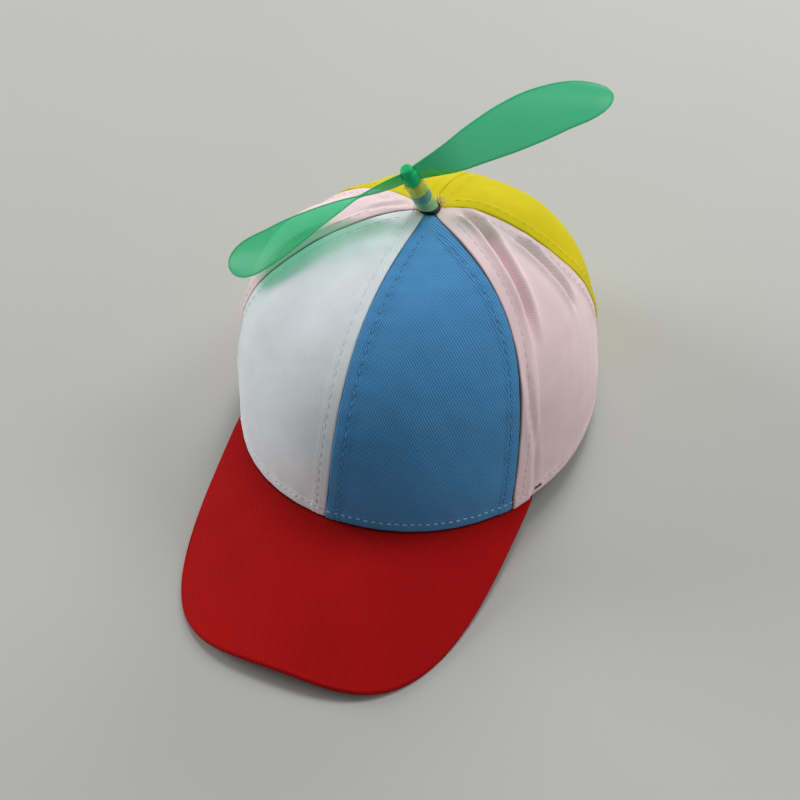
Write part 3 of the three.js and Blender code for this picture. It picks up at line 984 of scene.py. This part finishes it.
@dataclass
class Stitching:
    """Rows of lockstitch: short floats of thread that dip into the cloth at both ends."""

    pitch_mm: float = 4.3
    stitch_mm: float = 3.5
    radius: float = 0.25
    proud: float = 0.42
    """Height of a stitch's arch."""
    sunk: float = 0.22
    """How deep its ends are."""
    stations: int = 7

    def stitches(self, points: Array, normals: Array, start: float = 1.0) -> Skin:
        """Sews along a line.

        Args:
            points: The line on the cloth.
            normals: Directions out of the cloth.
            start: Millimetres before the first stitch.

        Returns:
            All the row's stitches.
        """
        length = way_along(points)
        starts = np.arange(start, length[-1] - self.stitch_mm, self.pitch_mm)
        share = np.linspace(0, 1, self.stations)
        at = starts[:, None] + share[None, :] * self.stitch_mm
        path = np.stack([np.interp(at, length, points[:, k]) for k in range(3)], -1)
        out = unit(np.stack([np.interp(at, length, normals[:, k]) for k in range(3)], -1))
        arch = self.proud * np.sin(share * math.pi) ** 0.6 - self.sunk
        path = path + out * arch[None, :, None]
        thick = self.radius * (0.45 + 0.55 * np.sin(share * math.pi) ** 0.5)
        return tubes(path, out, thick)


@dataclass
class Crown:
    """The six panels, the stitch rows and the seams' thread, whose dark colour partly paints the
    shade in the seam grooves.
    """

    panels: tuple[CrownPanel, ...]
    seam_depth: float = 0.5
    seam_radius: float = 0.34

    def build(self, form: CapForm, finishes: Finishes) -> None:
        """Makes panels, stitches and seam threads.

        Args:
            form: The cap's form.
            finishes: Materials by name.
        """
        hemming = Stitching(3.2, 2.4, 0.26, 0.42)
        for panel in self.panels:
            sewing = Stitching(radius=0.1 + 0.15 * panel.pull, proud=0.3 + 0.12 * panel.pull)
            panel.build(form, finishes[panel.slot])
            rows = None
            for at_end in (False, True):
                points, normals = panel.row_beside(at_end, panel.stitch_row)
                start = panel.hem_row + (2.2 if at_end else 1.4)
                row = sewing.stitches(points, normals, start)
                rows = row if rows is None else rows.joined(row)
            rows.points = form.laid(rows.points)
            thread = finishes[panel.slot.replace("twill", "thread")]
            make_piece(f"seam_stitches_{panel.name}", rows, thread, Body.CAP)
            row = hemming.stitches(*panel.row_above_rim(panel.hem_row))
            row.points = form.laid(row.points)
            thread = finishes[panel.hem_thread] if panel.hem_thread else thread
            make_piece(f"hem_stitches_{panel.name}", row, thread, Body.CAP)
        for seam in Seam:
            self.build_seam(form, seam, finishes[f"seam_{seam.name.lower()}"])

    def build_seam(self, form: CapForm, seam: Seam, finish: Material) -> None:
        """Makes the thread that closes one seam, sunk between the two folded edges, in a colour
        that on the dark seams also paints the groove's shade.
        """
        top = 1 - math.asin(form.hole_radius * 1.3 / form.half_width) * 2 / math.pi
        rise = np.linspace(0.002, top, 220)
        azimuth = seam.value.azimuth(rise)
        path = form.crown_point(azimuth, rise)
        normal = form.crown_normal(azimuth, rise)
        sunk = np.full(len(rise), self.seam_depth)
        for panel in self.panels:
            if panel.start is seam:
                for crease in panel.creases:
                    sunk -= crease.press(form, path)
        path = path - normal * sunk[:, None]
        radius = np.full(len(rise), self.seam_radius)
        skin = tubes(path[None], normal[None], radius, sides=8).marked("along", 0.5)
        skin.points = form.laid(skin.points)
        make_piece(f"seam_thread_{seam.name.lower()}", skin, finish, Body.CAP)


# ---------------------------------------------------------------- the peak


@dataclass
class Peak:
    """The stiff peak: a bent board covered in red twill, with a rounded edge."""

    stations: int = 220
    columns: int = 54
    edge_steps: int = 9
    edge_round: float = 1.45
    seed: int = 11

    def build(self, form: CapForm, finish: Material) -> bpy.types.Object:
        """Makes the peak in place of its solid.

        Args:
            form: The cap's form.
            finish: The red twill.

        Returns:
            The peak's object.
        """
        share = np.linspace(0.006, 0.994, self.stations)[::-1]
        azimuth = form.temple_azimuth + (-2 * form.temple_azimuth) * share - 90
        start = form.rim_plan(azimuth)
        tuck = form.rim_plan(azimuth, form.wall)
        end = form.peak_outline(share)
        reach = np.linalg.norm(end - start, axis=1)
        round_ = np.minimum(self.edge_round, 0.4 * reach)
        turned_in = end - (end - start) / reach[:, None] * round_[:, None]
        # Across: the tuck under the crown, the open top, the rounded edge, and back below
        even = np.linspace(0, 1, self.columns)
        ways = start[:, None] + (turned_in - start)[:, None] * even[None, :, None]
        plan = np.concatenate([tuck[:, None], ways], 1)
        top = form.peak_top(plan[..., 0], plan[..., 1]) - form.seam_gap
        rim = form.rim_height(azimuth) - form.seam_gap
        top[:, 0] = rim
        upper = np.concatenate([plan, top[..., None]], -1)
        lower = upper - np.array([0, 0, form.peak_thickness])
        angle = np.linspace(0, math.pi, self.edge_steps + 2)[1:-1]
        half = form.peak_thickness / 2
        out = (end - turned_in)[:, None] * np.sin(angle)[None, :, None]
        bend_plan = turned_in[:, None] + out
        bend_z = top[:, -1:] - half + half * np.cos(angle)[None, :]
        bend = np.concatenate([bend_plan, bend_z[..., None]], -1)
        from_crown = np.linspace(0, 1, upper.shape[1])
        relief = 0.22 * swell(upper, 30, self.seed) * eased(0, 0.15, from_crown)
        upper = upper + np.array([0, 0, 1.0]) * relief[..., None]
        loop = np.concatenate([upper, bend, lower[:, ::-1]], 1)
        rows, columns = loop.shape[:2]
        faces = grid_faces(rows, columns)
        for first in range(0, (rows - 1) * columns, columns):
            faces.append([first + columns - 1, first, first + columns, first + 2 * columns - 1])
        faces.append(list(range(columns))[::-1])
        faces.append([(rows - 1) * columns + c for c in range(columns)])
        skin = Skin(form.laid(loop).reshape(-1, 3), faces)
        skin.cloth = loop[..., :2].reshape(-1, 2).copy()
        # Painted shade in the mark "open": the top face darkens towards the crown's lower edge,
        # which overhangs it.
        lit = np.ones((rows, columns))
        way = np.linalg.norm(ways - start[:, None], axis=2)
        lit[:, 1 : self.columns + 1] = 0.3 + 0.7 * eased(0.1, 1.0, way)
        skin.marks["open"] = lit.ravel()
        piece = make_piece("peak_cover", skin, finish, Body.CAP)
        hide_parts("peak")
        return piece


# ---------------------------------------------------------------- the post and the propeller


@dataclass
class Post:
    """The black ring at the crown's top and three short tubes over the hidden pin."""

    ring_radius: float = 4.9
    ring_height: float = 1.4
    ring_hole: float = 2.74
    bore: float = 1.8
    tube_radius: float = 4.2
    gap: float = 0.3
    tubes: tuple[tuple[str, float], ...] = (("green", 5.94), ("blue", 4.62), ("yellow", 5.94))
    sides: int = 64

    def build(self, form: CapForm, finishes: Finishes) -> None:
        """Makes ring and tubes in place of their solids.

        Args:
            form: The cap's form.
            finishes: Materials by name.
        """
        ring = self.pipe(self.ring_hole, self.ring_radius, 0, self.ring_height, 0.5)
        ring.points = ring.points @ form.upright.T + form.post_foot
        slot = "plastic_black"
        piece = make_piece("base_ring_moulded", ring, finishes[slot], Body.CAP)
        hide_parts("base_ring")
        tilt = math.radians(form.post_tilt_degrees)
        foot = (self.ring_height + self.gap) / math.cos(tilt)
        low = foot
        for name, length in self.tubes:
            high = low + length
            tube = self.pipe(self.bore, self.tube_radius, low, high, 0.35)
            if low == foot:
                # The lowest tube is cut level, to stand on the ring
                share = eased(low - 0.1, high - 1.0, tube.points[:, 2])
                tube.points[:, 2] += (1 - share) * tube.points[:, 0] * math.tan(tilt)
            tube.points = form.on_post(tube.points)
            slot = f"tube_{name}"
            piece = make_piece(slot, tube, finishes[slot], Body.CAP)
            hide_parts(f"sleeve_{name}")
            low = high + self.gap

    def pipe(self, hole: float, radius: float, low: float, high: float, rounding: float) -> Skin:
        """A ring or tube with rounded edges, upright on its own axis."""
        corners = [(hole, low), (radius, low), (radius, high), (hole, high)]
        return lathe(softened(corners, rounding, True), self.sides, True).marked("thick", 0)


@dataclass
class LooseThreads:
    """Frayed ends of sewing thread that curl out from under the ring."""

    tufts: tuple[tuple[float, int, float], ...] = ((58, 11, 4.4), (222, 5, 3.2))
    """Heading, number of ends and their reach in millimetres, for each tuft."""
    radius: float = 0.23
    stations: int = 16
    seed: int = 5

    def build(self, form: CapForm, finish: Material) -> None:
        """Makes two small tufts beside the ring.

        Args:
            form: The cap's form.
            finish: The thread.
        """
        rng = np.random.default_rng(self.seed)
        paths = []
        for heading, count, long in self.tufts:
            for _ in range(count):
                turn = math.radians(heading + rng.uniform(-32, 32))
                outward = np.array([math.cos(turn), math.sin(turn), 0])
                aside = np.array([-outward[1], outward[0], 0])
                share = np.linspace(0, 1, self.stations)[:, None]
                curl = rng.uniform(-1.6, 1.6) * share**1.5
                curl = curl + rng.uniform(-0.6, 0.6) * np.sin(share * 6)
                arch = rng.uniform(1.0, 4.2) * np.sin(share * math.pi * rng.uniform(0.5, 1.0))
                reach = 4.3 + long * rng.uniform(0.6, 1) * share
                place = outward * reach + aside * curl
                height = 0.35 - 0.012 * reach**2 + arch
                paths.append(place + np.array([0, 0, 1.0]) * height)
        paths = np.array(paths)
        paths = paths + form.post_top - np.array([0, 0, form.seam_gap])
        normals = np.broadcast_to(np.array([0.3, 0.2, 1.0]), paths.shape)
        radii = self.radius * (1 - 0.5 * np.linspace(0, 1, self.stations))
        skin = tubes(paths, normals, radii).marked("along", 0.5)
        skin.points = form.laid(skin.points)
        make_piece("loose_threads", skin, finish, Body.CAP)


@dataclass
class HemTack:
    """A short bar of dark thread that holds the hem where the peak ends."""

    azimuths: tuple[float, float] = (-29.2, -26.8)
    rise: float = 0.025
    proud: float = 0.4
    radius: float = 0.34
    stations: int = 9

    def build(self, form: CapForm, finish: Material) -> None:
        """Makes the tack.

        Args:
            form: The cap's form.
            finish: The dark thread.
        """
        azimuth = np.linspace(*self.azimuths, self.stations)
        rise = np.full(self.stations, self.rise)
        normal = form.crown_normal(azimuth, rise)
        path = form.crown_point(azimuth, rise) + normal * self.proud
        radii = np.full(self.stations, self.radius)
        skin = tubes(path[None], normal[None], radii).marked("along", 0.5)
        skin.points = form.laid(skin.points)
        make_piece("hem_tack", skin, finish, Body.CAP)


@dataclass
class Propeller:
    """A moulded hub with a knob and two thin twisted blades that let light through."""

    hub_radius: float = 3.6
    hub_height: float = 6.2
    knob_radius: float = 2.7
    knob_height: float = 2.4
    bore: float = 1.8
    bore_depth: float = 5.7
    blade_height: float = 3.6
    reach: float = 85.6
    chord: float = 23.4
    thickness: float = 1.4
    edge_thickness: float = 0.7
    lift: float = 5.7
    droop: float = 10.8
    tip_round: float = 18.0
    tip_power: float = 2.4
    camber: float = 1.1
    stations: int = 110
    columns: int = 26
    sides: int = 64
    section: tuple[tuple[float, float, float, float], ...] = (
        (0.03, 0.31, 80, 0), (0.2, 0.53, 56, -0.03), (0.35, 0.72, 34, 0.01), (0.5, 0.9, 23, 0.05),
        (0.65, 1, 14.5, 0.085), (0.8, 0.97, 7, 0.09), (1, 0.93, -5, 0.01),
    )  # fmt: skip
    """A blade's sections: share of the reach, chord, pitch in degrees, and sweep."""

    def __post_init__(self) -> None:
        """Reads the blade's sections into columns."""
        self.section_at, self.chords, self.pitches, self.sweeps = np.array(self.section, float).T

    def blade(self) -> Skin:
        """One blade along +X of the hub's frame."""
        even = np.linspace(0, 1, self.stations)
        closer = even + 0.6 * (np.sin(even * math.pi / 2) - even)
        reach = self.section_at[0] + (0.9995 - self.section_at[0]) * closer
        along = self.reach * reach
        tip = np.maximum(0, (along - self.reach + self.tip_round) / self.tip_round)
        rounding = np.sqrt(np.maximum(0, 1 - tip**self.tip_power))
        chord = self.chord * on_curve(self.section_at, self.chords, reach) * rounding
        pitch = np.radians(on_curve(self.section_at, self.pitches, reach))
        sweep = self.chord * on_curve(self.section_at, self.sweeps, reach)
        rise = self.blade_height + self.lift * reach - self.droop * reach**2
        zero = np.zeros_like(reach)
        across = np.stack([zero, np.cos(pitch), np.sin(pitch)], -1)[:, None]
        normal = np.stack([zero, -np.sin(pitch), np.cos(pitch)], -1)[:, None]
        middle = np.stack([along, zero, rise], -1)[:, None] + across * sweep[:, None, None]
        side = np.sin(np.linspace(1, -1, self.columns) * math.pi / 2)[None, :, None]
        flat = middle + across * side * chord[:, None, None] / 2
        bowed = self.camber * eased(0.15, 0.5, reach)[:, None, None]
        bowed = bowed * (1 - side**2) * rounding[:, None, None]
        thick = self.thickness + (self.edge_thickness - self.thickness) * np.abs(side) ** 2
        # A thin bead runs round the moulded edge
        bead = 0.28 * np.exp(-(((1 - np.abs(side)) / 0.05) ** 2))
        thick = (thick + bead) / 2 * np.sqrt(np.maximum(1 - np.abs(side) ** 18, 0.03))
        outer = flat + normal * (bowed + thick)
        inner = flat + normal * (bowed - thick)
        skin = shell(outer, inner)
        rim = np.exp(-((1 - np.abs(side)) * chord[:, None, None] / 2 / 0.5) ** 2)
        end = np.exp(-(((1 - reach)[:, None, None] * self.reach / 0.5) ** 2))
        root = 1 - eased(0.05, 0.3, reach)[:, None, None]
        edge = np.clip(np.maximum(np.maximum(rim, end) * 0.75, root * 0.4), 0, 1)
        edge = np.broadcast_to(edge, (self.stations, self.columns, 1)).ravel()
        skin.marks["thick"] = np.concatenate([edge, edge])
        return skin

    def hub(self) -> Skin:
        """The hub with its knob and blind bore."""
        top = self.hub_height + self.knob_height
        corners = [
            (0.02, self.bore_depth),
            (self.bore, self.bore_depth),
            (self.bore, 0),
            (self.hub_radius, 0),
            (self.hub_radius, self.hub_height - 0.6),
            (self.knob_radius, self.hub_height),
            (self.knob_radius, top - 0.5),
            (self.knob_radius * 0.6, top),
            (0.02, top),
        ]
        return lathe(softened(corners, 0.7, False), self.sides, False).marked("thick", 1)

    def build(self, form: CapForm, finishes: Finishes) -> None:
        """Makes hub and blades in place of the propeller's solid.

        Args:
            form: The cap's form.
            finishes: Materials by name.
        """
        first = self.blade()
        second = Skin(first.points @ turning(2, math.pi).T, first.faces, None, dict(first.marks))
        for name, skin in (("blades", first.joined(second)), ("hub", self.hub())):
            skin.points = form.on_hub(skin.points)
            finish = finishes[name]
            piece = make_piece(f"propeller_{name}", skin, finish, Body.PROPELLER)
            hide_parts("propeller")


# ---------------------------------------------------------------- the studio


def set_up(name: str, data: bpy.types.ID, axes: Array, place: Array) -> bpy.types.Object:
    """Puts a lamp or camera up.

    Args:
        name: Its name.
        data: Its settings.
        axes: Its own axes, one in each column.
        place: Where it stands, in metres.

    Returns:
        The object.
    """
    made = bpy.data.objects.new(name, data)
    matrix = np.eye(4)
    matrix[:3, :3], matrix[:3, 3] = axes, place
    made.matrix_world = Matrix(matrix.tolist())
    bpy.context.scene.collection.objects.link(made)
    return made


@dataclass(frozen=True)
class Lamp:
    """A soft square lamp over the cap."""

    name: str
    azimuth: float
    elevation: float
    distance: float
    size: float
    watts: float
    tint: str = "#FFFFFF"
    aim_height: float = 0.05

    def place(self) -> None:
        """Puts the lamp up, facing the crown."""
        turn, up = math.radians(self.azimuth), math.radians(self.elevation)
        out = np.array([math.cos(turn) * math.cos(up), math.sin(turn) * math.cos(up), math.sin(up)])
        right = np.array([-math.sin(turn), math.cos(turn), 0.0])
        above = np.cross(out, right)
        data = bpy.data.lights.new(self.name, "AREA")
        data.shape = "DISK"
        data.size = self.size
        data.energy = self.watts
        data.color = linear(self.tint)[:3]
        place = out * self.distance + np.array([0, 0, self.aim_height])
        set_up(self.name, data, np.stack([right, above, out], 1), place)


@dataclass
class Studio:
    """A pale floor, soft light from above and behind, and the photograph's camera."""

    azimuth: float = 22.108
    elevation: float = 42.965
    distance: float = 476.3
    target: tuple[float, float, float] = (11.106, -52.806, 40.0)
    lens: float = 51.97
    sensor: float = 36.0
    ambient: float = 0.22
    ambient_tint: str = "#FFFFFF"
    floor_size: float = 6.0
    lamps: tuple[Lamp, ...] = (
        Lamp("lamp_above", 90, 68, 2.2, 0.7, 15.5),
        Lamp("lamp_window", 40, 45, 2.2, 1.0, 12.0),
        Lamp("lamp_behind", 90, 20, 2.2, 1.2, 18.8),
        Lamp("lamp_left", 180, 20, 2.2, 1.2, 27.0),
        Lamp("lamp_right", 12, 20, 2.2, 1.2, 6.5),
    )

    def build(self, form: CapForm) -> None:
        """Sets up floor, light and camera.

        Args:
            form: The cap's form, in whose rim frame the camera was found.
        """
        scene = bpy.context.scene
        half = self.floor_size / 2
        mesh = bpy.data.meshes.new("floor")
        corners = [(x * half, y * half, 0) for x, y in ((-1, -1), (1, -1), (1, 1), (-1, 1))]
        mesh.from_pydata(corners, [], [(0, 1, 2, 3)])
        mesh.materials.append(FloorFinish().material())
        floor = bpy.data.objects.new("floor", mesh)
        scene.collection.objects.link(floor)
        for lamp in self.lamps:
            lamp.place()
        world = bpy.data.worlds.new("pale_room")
        world.use_nodes = True
        back = world.node_tree.nodes["Background"]
        back.inputs["Color"].default_value = linear(self.ambient_tint)
        back.inputs["Strength"].default_value = self.ambient
        scene.world = world
        scene.view_settings.view_transform = "Standard"
        self.place_camera(form)

    def place_camera(self, form: CapForm) -> None:
        """Puts the camera where the photograph was taken from."""
        turn, up = math.radians(self.azimuth), math.radians(self.elevation)
        level = math.cos(up)
        back = np.array([math.sin(turn) * level, -math.cos(turn) * level, math.sin(up)])
        right = np.array([math.cos(turn), math.sin(turn), 0.0])
        above = np.cross(back, right)
        place = form.placed(np.array(self.target) + back * self.distance) * MM
        data = bpy.data.cameras.new("camera")
        data.lens = self.lens
        data.sensor_width = self.sensor
        data.clip_start = 0.01
        axes = form.upright @ np.stack([right, above, back], 1)
        bpy.context.scene.camera = set_up("camera", data, axes, place)


# ---------------------------------------------------------------- the beanie


def crown_panels() -> tuple[CrownPanel, ...]:
    """The six panels with the folds that each has."""
    long_places = ((20, 0.91), (8, 0.86), (-3, 0.8), (-12.5, 0.735), (-16.5, 0.67))
    long_fold = Crease(long_places + ((-20, 0.573), (-22.5, 0.5), (-24.5, 0.43)), 2.0, 3.8)
    short_places = ((10, 0.72), (7, 0.66), (5.5, 0.6), (5, 0.53), (5, 0.46), (5, 0.4))
    short_fold = Crease(short_places, 2.4, 3.5)
    seam_places = ((-29, 0), (-30, 0.15), (-31.5, 0.3), (-31, 0.41), (-28, 0.51))
    seam_crease = Crease(seam_places, 1.6, 0.7)
    top_places = ((168, 0.95), (178, 0.92), (185, 0.895), (189, 0.862), (194, 0.82), (197, 0.78))
    top_fold = Crease(top_places, 1.5, 0.9)
    temple_dent = Crease(((206, 0.34), (205, 0.27), (202, 0.21), (199, 0.12)), 5.5, 1.8)
    front_left = CrownPanel("front_left", "twill_white", Seam.LEFT, Seam.FRONT, seed=3)
    front_left.start_flap, front_left.end_flap = Flap(6.0, 0.2), Flap(6.0, 0.12)
    front_left.creases = (temple_dent,)
    front_left.end_shade, front_left.pull = 0.92, 0.35
    front_right = CrownPanel("front_right", "twill_blue", Seam.FRONT, Seam.RIGHT, seed=4)
    front_right.start_shade, front_right.hem_thread = 0.6, "thread_hem"
    side_right = CrownPanel("side_right", "twill_pink", Seam.RIGHT, Seam.BACK_RIGHT, seed=5)
    side_right.start_flap = Flap(9.5, 0.8)
    side_right.creases = (long_fold, short_fold, seam_crease)
    side_right.end_shade, side_right.pull = 0.85, 0.25
    back_right = CrownPanel("back_right", "twill_yellow", Seam.BACK_RIGHT, Seam.REAR, seed=6)
    back_right.start_shade, back_right.end_shade, back_right.pull = 0.85, 0.85, 0.1
    back_left = CrownPanel("back_left", "twill_yellow", Seam.REAR, Seam.BACK_LEFT, seed=7)
    back_left.start_shade, back_left.end_shade, back_left.pull = 0.85, 0.7, 0.1
    side_left = CrownPanel("side_left", "twill_pink", Seam.BACK_LEFT, Seam.LEFT, seed=8)
    side_left.creases = (top_fold, temple_dent)
    side_left.start_shade, side_left.pull = 0.7, 0.25
    return (front_left, front_right, side_right, back_right, back_left, side_left)


def make_finishes() -> Finishes:
    """Every material of the beanie by name."""
    # Each twill gives a rib colour and a darker valley colour; the step between them is painted
    # shade.
    twills = {
        "twill_white": TwillFinish("cotton_twill_white", "#E4EAEE", "#D6DCE0", relief_mm=0.03),
        "twill_blue": TwillFinish(
            "cotton_twill_blue", "#599FD0", "#3070A8", specular=0.15, relief_mm=0.07
        ),
        "twill_pink": TwillFinish(
            "cotton_twill_pink", "#ECD2D5", "#DFC5C8", specular=0.15, relief_mm=0.025
        ),
        "twill_yellow": TwillFinish(
            "cotton_twill_yellow", "#D2C41C", "#C6B414", specular=0.06, sheen=0.02, relief_mm=0.03
        ),
        "twill_red": TwillFinish(
            "cotton_twill_red", "#B31415", "#950C0D", specular=0.06, sheen=0.02, relief_mm=0.06
        ),
    }
    threads = {
        "thread_white": ThreadFinish("polyester_thread_white", "#E2E8EC", "#C8CED2"),
        "thread_blue": ThreadFinish("polyester_thread_blue", "#5597C8", "#173A5C"),
        "thread_pink": ThreadFinish("polyester_thread_pink", "#EED6D9", "#DCC0C3"),
        "thread_yellow": ThreadFinish("polyester_thread_yellow", "#D2C41C", "#C4B214"),
        "thread_hem": ThreadFinish("polyester_thread_pale", "#BDD8EB", "#7E9CB5"),
        "thread_fray": ThreadFinish("cotton_thread_raw", "#D9B888", "#BF9A68"),
        "thread_tack": ThreadFinish("polyester_thread_dark", "#33291F"),
    }
    # Seam thread colours: the navy, deep navy and umber threads are darker than the thread itself,
    # to paint the shade deep in their grooves.
    seams = (
        ("front", "navy", "#356089"),
        ("right", "navy_deep", "#0D1638"),
        ("left", "umber", "#5A4648"),
        ("back_right", "ochre", "#C9A860"),
        ("rear", "gold", "#C9B80C"),
        ("back_left", "ochre_left", "#B89A58"),
    )
    for seam, shade, colour in seams:
        threads[f"seam_{seam}"] = ThreadFinish(f"seam_thread_{shade}", colour)
    plastics = {
        "plastic_black": PlasticFinish(
            "polypropylene_moulded_black", "#06080A", "#06080A", 0.5, 1.4
        ),
        "pin_plastic": PlasticFinish("nylon_moulded_grey", "#9AA0A4", "#9AA0A4", 0.45, ior=1.53),
        "blades": PlasticFinish(
            "polypropylene_thin_green",
            "#0CAC72",
            "#2CC878",
            roughness=0.36,
            ior=1.45,
            passes=0.55,
            passed_colour="#74F2BC",
            grain_mm=9.0,
            grain_relief_mm=0.004,
        ),
        "hub": PlasticFinish("polypropylene_green", "#00B86C", "#00B86C", 0.5, 1.35),
    }
    tubing = (
        ("green", "#B6E8B0", "#7CC48A", 0.3, "#D8F5D4"),
        ("blue", "#6FAAB2", "#5A98A5", 0.25, "#BEE3E6"),
        ("yellow", "#DCE666", "#C6CC3C", 0.25, "#EEF2B0"),
    )
    for name, colour, edge, passes, passed in tubing:
        finish = PlasticFinish(f"pvc_tube_{name}", colour, edge, 0.3, 1.52, passes, passed, 0.3)
        plastics[f"tube_{name}"] = finish
    return {key: finish.material() for key, finish in (twills | threads | plastics).items()}


def main() -> None:
    """Builds the beanie's looks, piece by piece, and sets the studio."""
    logging.basicConfig(level=logging.INFO, format="%(name)s: %(message)s")
    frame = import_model()
    joint = np.array(frame["joints"][0]["pos_m"]) / MM
    form = CapForm(joint)
    LOG.info("shift %s mm, pitch %.4f degrees", np.round(form.shift, 4), math.degrees(form.pitch))
    finishes = make_finishes()
    Crown(crown_panels()).build(form, finishes)
    Peak().build(form, finishes["twill_red"])
    Post().build(form, finishes)
    LooseThreads().build(form, finishes["thread_fray"])
    HemTack().build(form, finishes["thread_tack"])
    Propeller().build(form, finishes)
    pin = frame["nodes"]["post_pin"]
    pin.material_slots[0].material = finishes["pin_plastic"]
    LOG.info("post_pin: carried over on %s", Body.CAP.value)
    Studio().build(form)


if __name__ == "__main__":
    main()
